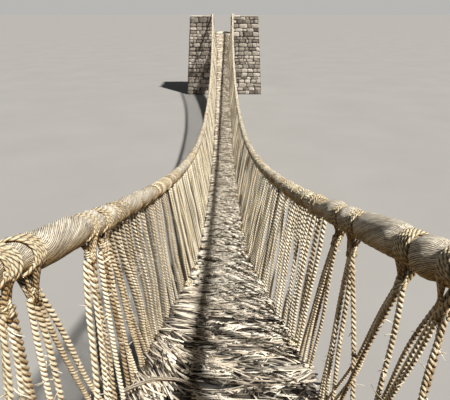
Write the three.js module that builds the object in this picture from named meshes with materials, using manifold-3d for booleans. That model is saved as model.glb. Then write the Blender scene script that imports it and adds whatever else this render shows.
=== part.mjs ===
// Rope suspension footbridge: four floor cables under a stick mat, two handrail cables,
// a net of hanger ropes on each side, and a stone abutment at each end.
// Millimetres. X runs across the deck, Y along it, Z up. The origin is on the ground
// below the middle of the span.

import * as THREE from 'three';
import * as BufferGeometryUtils from 'three/addons/utils/BufferGeometryUtils.js';
import Module from 'manifold-3d';

const wasm = await Module();
wasm.setup();

// Whole bridge
const SPAN = 28000; // between the two abutment faces
const GAP = 0.3; // clearance between pieces that touch
const SEGMENTS = 36; // straight pieces that stand for the sagging curve
const DECK_BAYS = 12;
const NET_BAYS = 6; // on each side

// Deck
const DECK_LEVEL = 3650; // top of the mat on the abutments
const DECK_SAG = 2900;
const MAT_THICKNESS = 60;
const DECK_HALF = 310; // half the mat's width over most of the span
const NEAR_FLARE = { gain: 230, from: 2200, to: 5400 };
const FAR_FLARE = { gain: 110, from: 0, to: 2600 };

// Ropes
const FLOOR_CABLE_RADIUS = 70;
const RAIL_RADIUS = 52;
const RAIL_RISE = 1060; // handrail centre above the mat, on the abutments
const RAIL_SAG = 2780;
const RAIL_HALF_MIDDLE = 500;
const RAIL_HALF_END = 610;
const RAIL_SPREAD_POWER = 3;
const RAIL_HALF_ANCHOR = 720; // where the handrails go down behind the piers
const RAIL_LEAD = 250; // straight run from there to the back edge of the capstones
const ROPE_SIDES = 8;
const BEND_STEPS = 4;

// Side nets
const NET_THICKNESS = 30;
const NET_START = 250; // clear of each abutment face
const NET_HEM = 0.09; // height of the top and bottom hems, as a share of the net
const HANGERS_PER_SEGMENT = 3;
const HANGER_GROUP_WIDTH = 175;
const LOOSE_GROUP_WIDTH = 80; // the sparse groups next to the near abutment
const LOOSE_GROUPS_END = 2450;

// Abutments
const PIER_LENGTH = 2600; // along the bridge
const LEDGE_LENGTH = 700; // base behind the piers, with the anchor trench in it
const MAT_SETBACK = 100; // from the back edge of the ledge to the passage mat
const GATE_HALF = 560;
const NARROW_PIER_TOP = 1400;
const WIDE_PIER_TOP = 1600;
const SIDE_BATTER = 0.07; // outward run for each unit of height
const FRONT_BATTER = 0.04;
const CAP_THICKNESS = 90;
const CAP_OVERHANG = 35;

// Anchors
const LOG_RADIUS = 150;
const LOG_HALF = 1500;
const LOG_SIDES = 12;
const TURNS_THICKNESS = 90; // rope wound on the log
const TURNS_WIDTH = 200;
const RAIL_TURNS_WIDTH = 150;
const LOG_DROP = 120; // log axis below the top of the base

// Levels and places that follow from the sizes above
const CABLE_AXIS_DROP = MAT_THICKNESS + GAP + FLOOR_CABLE_RADIUS;
const SEGMENT = SPAN / SEGMENTS;
const BASE_TOP = DECK_LEVEL - CABLE_AXIS_DROP - FLOOR_CABLE_RADIUS - GAP;
const RAIL_LEVEL = DECK_LEVEL + RAIL_RISE;
const CAP_TOP = RAIL_LEVEL - RAIL_RADIUS - GAP;
const PIER_TOP = CAP_TOP - CAP_THICKNESS - GAP;
const TURNS_RADIUS = LOG_RADIUS + GAP + TURNS_THICKNESS;
const LOG_BACK = PIER_LENGTH + TURNS_RADIUS + GAP; // log axis behind the face
const LOG_LEVEL = BASE_TOP - LOG_DROP;
const TRENCH_FLOOR = LOG_LEVEL - TURNS_RADIUS - GAP;
const TRENCH_END = LOG_BACK + TURNS_RADIUS + GAP;
const CABLE_END = LOG_BACK - LOG_RADIUS * 0.667; // the floor cable runs into its turns here
const RAIL_END = LOG_LEVEL + LOG_RADIUS * 0.6; // and the handrail into its own, from above
const PASSAGE_MAT_END = PIER_LENGTH + LEDGE_LENGTH - MAT_SETBACK;

const FINISH = {
  masonry: { color: 0x6f665c, roughness: 0.95, metalness: 0 },
  capstone: { color: 0xb9b0a0, roughness: 0.9, metalness: 0 },
  rope: { color: 0xc9b283, roughness: 0.9, metalness: 0 },
  floorRope: { color: 0xa8946c, roughness: 0.92, metalness: 0 },
  net: { color: 0xbfa878, roughness: 0.9, metalness: 0 },
  mat: { color: 0xa39a84, roughness: 0.95, metalness: 0 },
  log: { color: 0x75604a, roughness: 0.85, metalness: 0 },
};

function named(name, geometry, finish) {
  const mesh = new THREE.Mesh(geometry, new THREE.MeshStandardMaterial(finish));
  mesh.name = name;
  return mesh;
}

function geometryFrom(points, triangles) {
  const geometry = new THREE.BufferGeometry();
  geometry.setAttribute('position', new THREE.Float32BufferAttribute(points.flat(), 3));
  geometry.setIndex(triangles.flat());
  geometry.computeVertexNormals();
  return geometry;
}

function toManifold(geometry) {
  const bare = geometry.clone();
  bare.deleteAttribute('normal');
  bare.deleteAttribute('uv');
  const merged = BufferGeometryUtils.mergeVertices(bare, 1e-3);
  return new wasm.Manifold(new wasm.Mesh({
    numProp: 3,
    vertProperties: new Float32Array(merged.attributes.position.array),
    triVerts: new Uint32Array(merged.index.array),
  }));
}

function fromManifold(solid) {
  const mesh = solid.getMesh();
  const geometry = new THREE.BufferGeometry();
  geometry.setAttribute('position', new THREE.BufferAttribute(mesh.vertProperties, 3));
  geometry.setIndex(new THREE.BufferAttribute(mesh.triVerts, 1));
  geometry.computeVertexNormals();
  return geometry;
}

function joined(geometries) {
  return fromManifold(geometries.map(toManifold).reduce((sum, solid) => sum.add(solid)));
}

// A closed solid through a row of like sections, each a ring of [x, y, z] points.
// The ring turns anticlockwise as seen from the end that the row starts at.
function loft(rings) {
  const count = rings[0].length;
  const points = rings.flat();
  const triangles = [];
  for (let row = 0; row < rings.length - 1; row += 1) {
    for (let k = 0; k < count; k += 1) {
      const a = row * count + k;
      const b = row * count + ((k + 1) % count);
      triangles.push([a, b + count, b], [a, a + count, b + count]);
    }
  }
  const last = (rings.length - 1) * count;
  for (let k = 1; k < count - 1; k += 1) {
    triangles.push([0, k, k + 1], [last, last + k + 1, last + k]);
  }
  return geometryFrom(points, triangles);
}

// Shape of the bridge at a distance from the near face

const between = (a, b, t) => a + (b - a) * t;

function easeOff(distance, { gain, from, to }) {
  const t = THREE.MathUtils.clamp((to - distance) / (to - from), 0, 1);
  return gain * t * t * (3 - 2 * t);
}

function sagged(level, sag, s) {
  const t = THREE.MathUtils.clamp(s / SPAN, 0, 1);
  return level - 4 * sag * t * (1 - t);
}

function stationShape(s) {
  const t = THREE.MathUtils.clamp(s / SPAN, 0, 1);
  const spread = Math.abs(1 - 2 * t) ** RAIL_SPREAD_POWER;
  return {
    deckTop: sagged(DECK_LEVEL, DECK_SAG, s),
    deckHalf: DECK_HALF + easeOff(Math.max(s, 0), NEAR_FLARE)
      + easeOff(Math.max(SPAN - s, 0), FAR_FLARE),
    railLevel: sagged(RAIL_LEVEL, RAIL_SAG, s),
    railHalf: between(RAIL_HALF_MIDDLE, RAIL_HALF_END, spread),
  };
}

// The pieces are straight between stations, so that neighbours meet face to face.
function shapeAt(s) {
  const first = THREE.MathUtils.clamp(Math.floor(s / SEGMENT), 0, SEGMENTS - 1) * SEGMENT;
  const t = THREE.MathUtils.clamp((s - first) / SEGMENT, 0, 1);
  const a = stationShape(first);
  const b = stationShape(first + SEGMENT);
  return Object.fromEntries(Object.keys(a).map((key) => [key, between(a[key], b[key], t)]));
}

function stations(from, to) {
  const list = [from];
  for (let k = 0; k <= SEGMENTS; k += 1) {
    if (k * SEGMENT > from + 1 && k * SEGMENT < to - 1) {
      list.push(k * SEGMENT);
    }
  }
  list.push(to);
  return list;
}

// Round section with a flat facing straight down.
// across and up are unit vectors of the section's plane.
function ropeRing(centre, radius, across, up) {
  const corner = radius / Math.cos(Math.PI / ROPE_SIDES);
  const ring = [];
  for (let k = 0; k < ROPE_SIDES; k += 1) {
    const angle = ((k + 0.5) * 2 * Math.PI) / ROPE_SIDES;
    const u = corner * Math.cos(angle);
    const v = corner * Math.sin(angle);
    ring.push([0, 1, 2].map((i) => centre[i] + u * across[i] + v * up[i]));
  }
  return ring;
}

const ACROSS = [1, 0, 0];
const UP = [0, 0, 1];

// Rope wound round the anchor log: a flat ring on the log, about the X axis
function turnsOnLog(x, width, end) {
  const ringOf = (radius) => {
    const corner = radius / Math.cos(Math.PI / LOG_SIDES);
    const points = [];
    for (let k = 0; k < LOG_SIDES; k += 1) {
      const angle = ((k + 0.5) * 2 * Math.PI) / LOG_SIDES;
      points.push(new THREE.Vector2(corner * Math.cos(angle), corner * Math.sin(angle)));
    }
    return points;
  };
  const shape = new THREE.Shape(ringOf(TURNS_RADIUS));
  shape.holes.push(new THREE.Path(ringOf(LOG_RADIUS + GAP)));
  const geometry = new THREE.ExtrudeGeometry(shape, { depth: width, bevelEnabled: false });
  geometry.rotateX(Math.PI / 2);
  geometry.rotateZ(Math.PI / 2);
  geometry.translate(x - width / 2, end * (SPAN / 2 + LOG_BACK), LOG_LEVEL);
  return geometry;
}

// Floor cables

function cableX(lane, deckHalf) {
  return (lane * (deckHalf - FLOOR_CABLE_RADIUS)) / 3; // lane is -3, -1, 1 or 3
}

function floorCable(lane) {
  const list = [-CABLE_END, ...stations(0, SPAN), SPAN + CABLE_END];
  const rings = list.map((s) => {
    const { deckTop, deckHalf } = shapeAt(s);
    const centre = [cableX(lane, deckHalf), s - SPAN / 2, deckTop - CABLE_AXIS_DROP];
    return ropeRing(centre, FLOOR_CABLE_RADIUS, ACROSS, UP);
  });
  const nearX = cableX(lane, shapeAt(0).deckHalf);
  const farX = cableX(lane, shapeAt(SPAN).deckHalf);
  return joined([
    loft(rings),
    turnsOnLog(nearX, TURNS_WIDTH, -1),
    turnsOnLog(farX, TURNS_WIDTH, 1),
  ]);
}

// Handrail cables: over the pier, down its back and round the anchor log

function handrail(side) {
  const bendRadius = RAIL_RADIUS + 5; // round the back edge of the capstones
  const anchorX = side * RAIL_HALF_ANCHOR;
  const tail = (end) => {
    const y = (back) => end * (SPAN / 2 + back);
    const lead = [anchorX, y(PIER_LENGTH - RAIL_LEAD), RAIL_LEVEL];
    const rings = [ropeRing(lead, RAIL_RADIUS, ACROSS, UP)];
    for (let k = 0; k <= BEND_STEPS; k += 1) {
      const angle = (k * Math.PI) / 2 / BEND_STEPS;
      const up = [0, end * Math.sin(angle), Math.cos(angle)];
      const centre = [
        anchorX,
        y(PIER_LENGTH + bendRadius * Math.sin(angle)),
        CAP_TOP + bendRadius * Math.cos(angle),
      ];
      rings.push(ropeRing(centre, RAIL_RADIUS, ACROSS, up));
    }
    const foot = [anchorX, y(PIER_LENGTH + bendRadius), RAIL_END];
    rings.push(ropeRing(foot, RAIL_RADIUS, ACROSS, [0, end, 0]));
    return rings;
  };
  const run = stations(0, SPAN).map((s) => {
    const { railLevel, railHalf } = shapeAt(s);
    return ropeRing([side * railHalf, s - SPAN / 2, railLevel], RAIL_RADIUS, ACROSS, UP);
  });
  return joined([
    loft([...tail(-1).reverse(), ...run, ...tail(1)]),
    turnsOnLog(anchorX, RAIL_TURNS_WIDTH, -1),
    turnsOnLog(anchorX, RAIL_TURNS_WIDTH, 1),
  ]);
}

// Stick mat

function matRing(s, half, top) {
  const y = s - SPAN / 2;
  const under = top - MAT_THICKNESS;
  return [[-half, y, under], [half, y, under], [half, y, top], [-half, y, top]];
}

function deckMat(bay) {
  const length = SPAN / DECK_BAYS;
  const from = bay * length + GAP / 2;
  const to = (bay + 1) * length - GAP / 2;
  return loft(stations(from, to).map((s) => {
    const { deckHalf, deckTop } = shapeAt(s);
    return matRing(s, deckHalf, deckTop);
  }));
}

function passageMat(half) {
  const geometry = new THREE.BoxGeometry(2 * half, PASSAGE_MAT_END - GAP, MAT_THICKNESS);
  geometry.translate(0, (PASSAGE_MAT_END + GAP) / 2, DECK_LEVEL - MAT_THICKNESS / 2);
  return geometry;
}

// Side nets: a curved lattice of hanger groups between a top hem under the handrail
// and a bottom hem along the edge of the mat

function netBreaks(from, to) {
  const step = SEGMENT / HANGERS_PER_SEGMENT;
  const edges = new Map(stations(from, to).map((s) => [s, false]));
  for (let middle = step / 2; middle < SPAN; middle += step) {
    const width = middle < LOOSE_GROUPS_END ? LOOSE_GROUP_WIDTH : HANGER_GROUP_WIDTH;
    const start = middle - width / 2;
    const finish = middle + width / 2;
    if (start > from + 1 && finish < to - 1) {
      edges.set(start, true);
      edges.set(finish, false);
    }
  }
  return [...edges.entries()].sort((a, b) => a[0] - b[0]);
}

function sideNet(side, bay) {
  const length = SPAN / NET_BAYS;
  const from = bay === 0 ? NET_START : bay * length + GAP / 2;
  const to = bay === NET_BAYS - 1 ? SPAN - NET_START : (bay + 1) * length - GAP / 2;
  const breaks = netBreaks(from, to);
  const levels = [0, NET_HEM, 1 - NET_HEM, 1];
  const points = [];
  const triangles = [];
  for (const [s] of breaks) {
    const { deckTop, deckHalf, railLevel, railHalf } = shapeAt(s);
    for (const level of levels) {
      const z = between(deckTop - MAT_THICKNESS, railLevel - RAIL_RADIUS - GAP, level);
      const x = between(deckHalf + GAP, railHalf - NET_THICKNESS / 2, level);
      points.push([side * x, s - SPAN / 2, z]);
      points.push([side * (x + NET_THICKNESS), s - SPAN / 2, z]);
    }
  }
  const columns = breaks.length - 1;
  const filled = (column, row) => column >= 0 && column < columns && row >= 0 && row < 3
    && (row !== 1 || breaks[column][1]);
  const at = (column, level, outer) => (column * levels.length + level) * 2 + outer;
  const quad = (a, b, c, d) => {
    if (side > 0) {
      triangles.push([a, b, c], [a, c, d]);
    } else {
      triangles.push([a, c, b], [a, d, c]);
    }
  };
  for (let column = 0; column < columns; column += 1) {
    for (let row = 0; row < 3; row += 1) {
      if (!filled(column, row)) {
        continue;
      }
      const corners = (outer) => [
        at(column, row, outer),
        at(column + 1, row, outer),
        at(column + 1, row + 1, outer),
        at(column, row + 1, outer),
      ];
      const [a, b, c, d] = corners(0);
      const [e, f, g, h] = corners(1);
      quad(a, d, c, b);
      quad(e, f, g, h);
      if (!filled(column, row - 1)) {
        quad(a, b, f, e);
      }
      if (!filled(column, row + 1)) {
        quad(d, h, g, c);
      }
      if (!filled(column - 1, row)) {
        quad(a, e, h, d);
      }
      if (!filled(column + 1, row)) {
        quad(b, c, g, f);
      }
    }
  }
  return geometryFrom(points, triangles);
}

// Abutment, seen from the span: +Y runs back from the face, z = 0 is the ground.
// narrowSide is the sign of X on which the narrower pier stands.

// Block with level top and bottom; each end is [xLow, xHigh, yLow, yHigh].
function batteredBlock(bottom, zBottom, top, zTop) {
  const ring = ([x0, x1, y0, y1], z) => [[x0, y0, z], [x0, y1, z], [x1, y1, z], [x1, y0, z]];
  return loft([ring(bottom, zBottom), ring(top, zTop)]);
}

function pierOutside(width, z) {
  return GATE_HALF + width + (PIER_TOP - z) * SIDE_BATTER;
}

function faceRun(z) {
  return (z - BASE_TOP) * FRONT_BATTER; // the face leans back as it rises
}

function abutmentBase(narrowSide) {
  const outline = (z) => {
    const narrow = pierOutside(NARROW_PIER_TOP, z);
    const wide = pierOutside(WIDE_PIER_TOP, z);
    const back = PIER_LENGTH + LEDGE_LENGTH + (BASE_TOP - z) * SIDE_BATTER;
    const [left, right] = narrowSide < 0 ? [-narrow, wide] : [-wide, narrow];
    return [left, right, faceRun(z), back];
  };
  const block = batteredBlock(outline(0), 0, outline(BASE_TOP), BASE_TOP);
  const depth = BASE_TOP - TRENCH_FLOOR;
  const trench = new THREE.BoxGeometry(3 * SPAN, TRENCH_END - PIER_LENGTH, 2 * depth);
  trench.translate(0, (TRENCH_END + PIER_LENGTH) / 2, BASE_TOP);
  return fromManifold(toManifold(block).subtract(toManifold(trench)));
}

function pier(side, width) {
  const low = BASE_TOP + GAP;
  const outline = (z) => {
    const outside = pierOutside(width, z);
    const [left, right] = side < 0 ? [-outside, -GATE_HALF] : [GATE_HALF, outside];
    return [left, right, faceRun(z), PIER_LENGTH];
  };
  return batteredBlock(outline(low), low, outline(PIER_TOP), PIER_TOP);
}

function capstones(side, width) {
  const outside = GATE_HALF + width + CAP_OVERHANG;
  const front = faceRun(PIER_TOP) - CAP_OVERHANG;
  const geometry = new THREE.BoxGeometry(outside - GATE_HALF, PIER_LENGTH - front, CAP_THICKNESS);
  geometry.translate(
    (side * (outside + GATE_HALF)) / 2,
    (PIER_LENGTH + front) / 2,
    CAP_TOP - CAP_THICKNESS / 2,
  );
  return geometry;
}

function anchorLog() {
  const corner = LOG_RADIUS / Math.cos(Math.PI / LOG_SIDES);
  const geometry = new THREE.CylinderGeometry(corner, corner, 2 * LOG_HALF, LOG_SIDES);
  geometry.rotateY(Math.PI / LOG_SIDES);
  geometry.rotateZ(Math.PI / 2);
  geometry.translate(0, LOG_BACK, LOG_LEVEL);
  return geometry;
}

function abutment(end) {
  const far = end > 0;
  const prefix = far ? 'far' : 'near';
  const narrowSide = -1;
  const wideSide = 1;
  const nameOf = (side) => (side * end < 0 ? 'left' : 'right');
  const matHalf = shapeAt(far ? SPAN : 0).deckHalf;
  const group = new THREE.Group();
  group.add(named(`${prefix}_base`, abutmentBase(narrowSide), FINISH.masonry));
  for (const [side, width] of [[narrowSide, NARROW_PIER_TOP], [wideSide, WIDE_PIER_TOP]]) {
    group.add(named(`${prefix}_pier_${nameOf(side)}`, pier(side, width), FINISH.masonry));
    group.add(named(`${prefix}_capstones_${nameOf(side)}`, capstones(side, width),
      FINISH.capstone));
  }
  group.add(named(`${prefix}_anchor_log`, anchorLog(), FINISH.log));
  group.add(named(`${prefix}_passage_mat`, passageMat(matHalf), FINISH.mat));
  group.position.y = (end * SPAN) / 2;
  group.rotation.z = far ? 0 : Math.PI;
  return group;
}

const bridge = new THREE.Group();
bridge.add(abutment(-1), abutment(1));

[-3, -1, 1, 3].forEach((lane, k) => {
  bridge.add(named(`floor_cable_${k + 1}`, floorCable(lane), FINISH.floorRope));
});

for (const [side, word] of [[-1, 'left'], [1, 'right']]) {
  bridge.add(named(`handrail_${word}`, handrail(side), FINISH.rope));
  for (let bay = 0; bay < NET_BAYS; bay += 1) {
    bridge.add(named(`side_net_${word}_${bay + 1}`, sideNet(side, bay), FINISH.net));
  }
}

for (let bay = 0; bay < DECK_BAYS; bay += 1) {
  const number = String(bay + 1).padStart(2, '0');
  bridge.add(named(`deck_mat_${number}`, deckMat(bay), FINISH.mat));
}

export default bridge;
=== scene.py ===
"""Looks of a rope suspension footbridge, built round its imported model.

Twisted grass ropes, a mat of crosswise sticks and two rubble abutments dress or replace the
plain solids of the frame. Metres: X runs across the deck, Y along it, Z up, and the origin is
on the ground below mid-span. Distances called s are measured from the near abutment's face.
"""

import logging
import math
from collections.abc import Callable
from dataclasses import dataclass, field
from enum import Enum
from functools import cached_property, partial

import bpy
import numpy as np
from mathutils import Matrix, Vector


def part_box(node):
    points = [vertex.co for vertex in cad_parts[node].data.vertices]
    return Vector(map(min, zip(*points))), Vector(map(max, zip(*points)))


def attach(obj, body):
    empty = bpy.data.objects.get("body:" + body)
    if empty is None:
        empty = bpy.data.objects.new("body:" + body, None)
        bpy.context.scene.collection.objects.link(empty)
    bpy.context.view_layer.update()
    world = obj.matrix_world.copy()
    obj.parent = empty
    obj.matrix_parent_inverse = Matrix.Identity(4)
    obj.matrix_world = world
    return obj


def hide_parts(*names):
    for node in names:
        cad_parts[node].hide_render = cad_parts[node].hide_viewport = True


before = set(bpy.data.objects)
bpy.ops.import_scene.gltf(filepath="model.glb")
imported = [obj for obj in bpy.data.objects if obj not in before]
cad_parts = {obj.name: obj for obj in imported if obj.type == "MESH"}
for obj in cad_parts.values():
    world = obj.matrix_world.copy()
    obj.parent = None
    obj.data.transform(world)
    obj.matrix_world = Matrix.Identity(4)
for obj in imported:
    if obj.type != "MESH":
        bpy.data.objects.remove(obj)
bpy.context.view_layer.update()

Array = np.ndarray
Colour = tuple[float, float, float]
Point = tuple[float, float, float]
Corners = tuple[Point, Point, Point, Point]
Measure = float | Callable[[float], float]
Material = bpy.types.Material
Object = bpy.types.Object
Socket = bpy.types.NodeSocket

log = logging.getLogger("footbridge")
BODY = "root"
TURN = 2 * math.pi
LANES = (-3, -1, 1, 3)
X_AXIS = np.array([1.0, 0.0, 0.0])
Y_AXIS = np.array([0.0, 1.0, 0.0])
Z_AXIS = np.array([0.0, 0.0, 1.0])


def xyz(x: Array | float, y: Array | float, z: Array | float) -> Array:
    """Points from their coordinates, each spread to the same shape."""
    return np.stack(np.broadcast_arrays(x, y, z), -1)


def unit(vectors: Array) -> Array:
    """Vectors scaled to a length of one."""
    return vectors / np.maximum(np.linalg.norm(vectors, axis=-1, keepdims=True), 1e-9)


def rise(value: Array, start: float, end: float) -> Array:
    """0 at the start and before it, 1 at the end and past it; the end may be the lower one."""
    return np.clip((value - start) / (end - start), 0, 1)


def square_to(paths: Array, reference: Array) -> tuple[Array, Array]:
    """Finds the directions across a batch of paths.

    Args:
        paths: points, as (paths, points, 3).
        reference: a direction that no path runs along.

    Returns:
        Two directions at each point, square to the path and to each other.
    """
    tangent = unit(np.gradient(paths, axis=1))
    across = unit(np.cross(tangent, np.broadcast_to(reference, paths.shape)))
    return across, np.cross(tangent, across)


def linked(name: str, data: bpy.types.ID) -> Object:
    """Puts a new object in the scene.

    Args:
        name: its name.
        data: its mesh, light or camera.

    Returns:
        The object.
    """
    made = bpy.data.objects.new(name, data)
    bpy.context.scene.collection.objects.link(made)
    return made


class Named(Enum):
    """Choice whose names the frame's nodes spell in small letters."""

    @property
    def word(self) -> str:
        """The name in small letters."""
        return self.name.lower()


class Side(Named):
    """Side of the deck, as seen from the near end; the value is the sign of X there."""

    LEFT = -1
    RIGHT = 1


class End(Named):
    """End of the bridge; the value is the sign of Y there."""

    NEAR = -1
    FAR = 1


# Shape of the bridge


@dataclass(frozen=True)
class Flare:
    """Widening of the mat next to an abutment.

    Args:
        gain: extra half width where it is widest.
        full: distance from the face up to which it is that wide.
        gone: distance from the face where it has ended.
    """

    gain: float
    full: float
    gone: float

    def at(self, distance: Array) -> Array:
        """Extra half width at a distance from the face."""
        t = rise(distance, self.gone, self.full)
        return self.gain * t * t * (3 - 2 * t)


@dataclass(frozen=True)
class Line:
    """Run of the deck and the handrails between the two faces.

    Args:
        span: distance between the faces.
        deck_level: height of the mat's top on the abutments.
        deck_sag: how far the mat has come down at mid-span.
        rail_rise: height of the handrails above the mat, on the abutments.
        rail_sag: how far they have come down at mid-span.
        rail_half_middle: distance of a handrail from the middle of the bridge, at mid-span.
        rail_half_end: the same distance at the faces.
        deck_half_middle: half the width of the mat, over most of the span.
        near_flare: how the mat widens towards the near end.
        far_flare: how it widens towards the far end.
        mat: thickness of the mat.
        floor_radius: radius of a floor rope.
        rail_radius: radius of a handrail.
    """

    span: float
    deck_level: float
    deck_sag: float = 2.9
    rail_rise: float = 1.06
    rail_sag: float = 2.78
    rail_half_middle: float = 0.50
    rail_half_end: float = 0.61
    deck_half_middle: float = 0.31
    near_flare: Flare = Flare(0.23, 2.2, 5.4)
    far_flare: Flare = Flare(0.11, 0.0, 2.6)
    mat: float = 0.06
    floor_radius: float = 0.07
    rail_radius: float = 0.052

    @staticmethod
    def from_frame() -> "Line":
        """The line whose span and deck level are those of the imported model."""
        near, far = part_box("near_passage_mat"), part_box("far_passage_mat")
        return Line(span=round(far[0].y - near[1].y, 2), deck_level=round(near[1].z, 4))

    def _sagged(self, level: float, sag: float, s: Array) -> Array:
        """Height of a parabola that hangs between the two faces."""
        t = np.clip(np.asarray(s, float) / self.span, 0, 1)
        return level - 4 * sag * t * (1 - t)

    def deck(self, s: Array) -> Array:
        """Height of the mat's top."""
        return self._sagged(self.deck_level, self.deck_sag, s)

    def rail(self, s: Array) -> Array:
        """Height of the handrail's middle."""
        return self._sagged(self.deck_level + self.rail_rise, self.rail_sag, s)

    def deck_half(self, s: Array) -> Array:
        """Half the width of the mat."""
        s = np.clip(np.asarray(s, float), 0, self.span)
        return self.deck_half_middle + self.near_flare.at(s) + self.far_flare.at(self.span - s)

    def rail_half(self, s: Array) -> Array:
        """Finds how far out a handrail hangs.

        Args:
            s: distances from the near face.

        Returns:
            Its distance from the middle of the bridge.
        """
        t = np.clip(np.asarray(s, float) / self.span, 0, 1)
        widen = self.rail_half_end - self.rail_half_middle
        return self.rail_half_middle + widen * np.abs(1 - 2 * t) ** 3

    def y(self, s: Array) -> Array:
        """Y at a distance from the near face."""
        return np.asarray(s, float) - self.span / 2

    def rail_point(self, side: Side, s: Array) -> Array:
        """Points on a handrail's middle line, one for each distance."""
        return xyz(side.value * self.rail_half(s), self.y(s), self.rail(s))

    def cable_point(self, lane: float, s: Array) -> Array:
        """Points on the middle line of the floor rope in a lane."""
        x = lane * (self.deck_half(s) - self.floor_radius) / LANES[-1]
        return xyz(x, self.y(s), self.deck(s) - self.mat - self.floor_radius)


LINE = Line.from_frame()


@dataclass(frozen=True)
class AbutmentSizes:
    """Sizes of an abutment, measured across, back from its face and up from the ground.

    Args:
        gate_half: half the width of the gateway.
        narrow: width of the narrower pier at its top.
        wide: width of the wider pier at its top.
        pier: how far back the piers reach.
        ledge: how far back the base reaches at its top.
        base_top: level of the base's top.
        pier_top: level of the piers' tops.
        cap_top: level of the cap slabs' tops.
        log_back: how far back the middle of the anchor log lies.
        log_level: level of the log's middle.
        log_radius: radius of the log.
        log_half: half its length.
        side_batter: how far the sides lean out for each metre down.
        front_batter: how far the face leans back for each metre up.
        overhang: how far the cap slabs stand out.
        clearance: gap that the solids keep where they touch.
    """

    gate_half: float
    narrow: float
    wide: float
    pier: float
    ledge: float
    base_top: float
    pier_top: float
    cap_top: float
    log_back: float
    log_level: float
    log_radius: float
    log_half: float
    side_batter: float = 0.07
    front_batter: float = 0.04
    overhang: float = 0.035
    clearance: float = 0.0003

    @staticmethod
    def from_frame() -> "AbutmentSizes":
        """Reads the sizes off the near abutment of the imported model.

        Returns:
            The sizes, to a tenth of a millimetre.
        """
        base, pier, log_box, left_caps, right_caps = (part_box(f"near_{name}") for name in (
            "base", "pier_right", "anchor_log", "capstones_left", "capstones_right"))
        face, gate_half = -LINE.span / 2, pier[0].x
        lean = base[1].z * AbutmentSizes.side_batter
        margin = gate_half + AbutmentSizes.overhang
        log_middle = (log_box[0] + log_box[1]) / 2
        sizes = {
            "gate_half": gate_half,
            "narrow": right_caps[1].x - margin,
            "wide": -left_caps[0].x - margin,
            "pier": face - pier[0].y,
            "ledge": face - base[0].y - lean,
            "base_top": base[1].z,
            "pier_top": pier[1].z,
            "cap_top": right_caps[1].z,
            "log_back": face - log_middle.y,
            "log_level": log_middle.z,
            "log_radius": log_box[1].z - log_middle.z,
            "log_half": log_box[1].x,
        }
        return AbutmentSizes(**{key: round(size, 4) for key, size in sizes.items()})

    @property
    def trench_floor(self) -> float:
        """Level of the floor of the log's trench."""
        return self.log_level - (self.log_back - self.pier)

    @property
    def trench_end(self) -> float:
        """How far back the trench reaches."""
        return self.log_back + (self.log_back - self.pier) + self.clearance

    def outside(self, sign: int, z: float) -> float:
        """X of the outer side of a pier at a height; the narrow pier is on the minus side."""
        width = self.narrow if sign < 0 else self.wide
        return sign * (self.gate_half + width + (self.pier_top - z) * self.side_batter)

    def front(self, z: float) -> float:
        """How far back the face is at a height."""
        return (z - self.base_top) * self.front_batter

    def back(self, z: float) -> float:
        """How far back the rear face is at a height."""
        return self.ledge + (self.base_top - z) * self.side_batter

    def log_point(self, end: End, x: Array | float) -> Array:
        """Points on the middle line of an anchor log."""
        return xyz(x, end.value * (LINE.span / 2 + self.log_back), self.log_level)


ABUTMENT = AbutmentSizes.from_frame()


# Meshes


@dataclass(frozen=True)
class Section:
    """Outline of a rope or a stick.

    Args:
        factors: radius at each corner, as a share of the largest.
        depths: 0 in the valley between two strands, 1 on a crest; low ones give painted shade.
    """

    factors: Array
    depths: Array

    @staticmethod
    def plain(sides: int) -> "Section":
        """A round section."""
        return Section(np.ones(sides), np.ones(sides))

    @staticmethod
    def strand(sides: int) -> "Section":
        """The section of one strand of a laid rope.

        Args:
            sides: corners of the section.

        Returns:
            A round section whose first corner faces out of the rope.
        """
        # painted shade: corners that face the other strand get low depths
        flank, crest = 0.46, 1.26
        out = np.cos(np.arange(sides) * TURN / sides)
        return Section(np.ones(sides), np.clip(flank + (crest - flank) * out, 0, 1))

    @staticmethod
    def strands(count: int, corners: int, press: float = 0.85) -> "Section":
        """The section of strands laid together.

        Args:
            count: number of strands.
            corners: corners on each of them.
            press: how far apart their middles stay; at 1 they only touch.

        Returns:
            A section with its first corner in a valley.
        """
        reach = press / math.sin(math.pi / count)
        angle = (np.arange(corners) / corners - 0.5) * TURN / count
        chord = np.sqrt(np.maximum(1 - (reach * np.sin(angle)) ** 2, 0))
        radius = (reach * np.cos(angle) + chord) / (reach + 1)
        depth = (radius - radius.min()) / (radius.max() - radius.min())
        return Section(np.tile(radius, count), np.tile(depth, count))

    @staticmethod
    def corded(strands: int, cords: int) -> "Section":
        """The section of a thick rope whose few strands are laid from many thin cords.

        Args:
            strands: number of strands.
            cords: number of cords round the rope.

        Returns:
            A section with two corners on each cord.
        """
        corner = np.arange(2 * cords)
        strand = 1 - np.sqrt(np.abs(np.cos(corner * TURN / (2 * cords) * strands / 2)))
        cord = 1 - corner % 2
        strand_dip, cord_dip = 0.07, 0.02
        strand_shade, cord_shade = 0.45, 0.40
        return Section((1 - strand_dip * strand) * (1 - cord_dip * cord),
                       (1 - strand_shade * strand) * (1 - cord_shade * cord))


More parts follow.
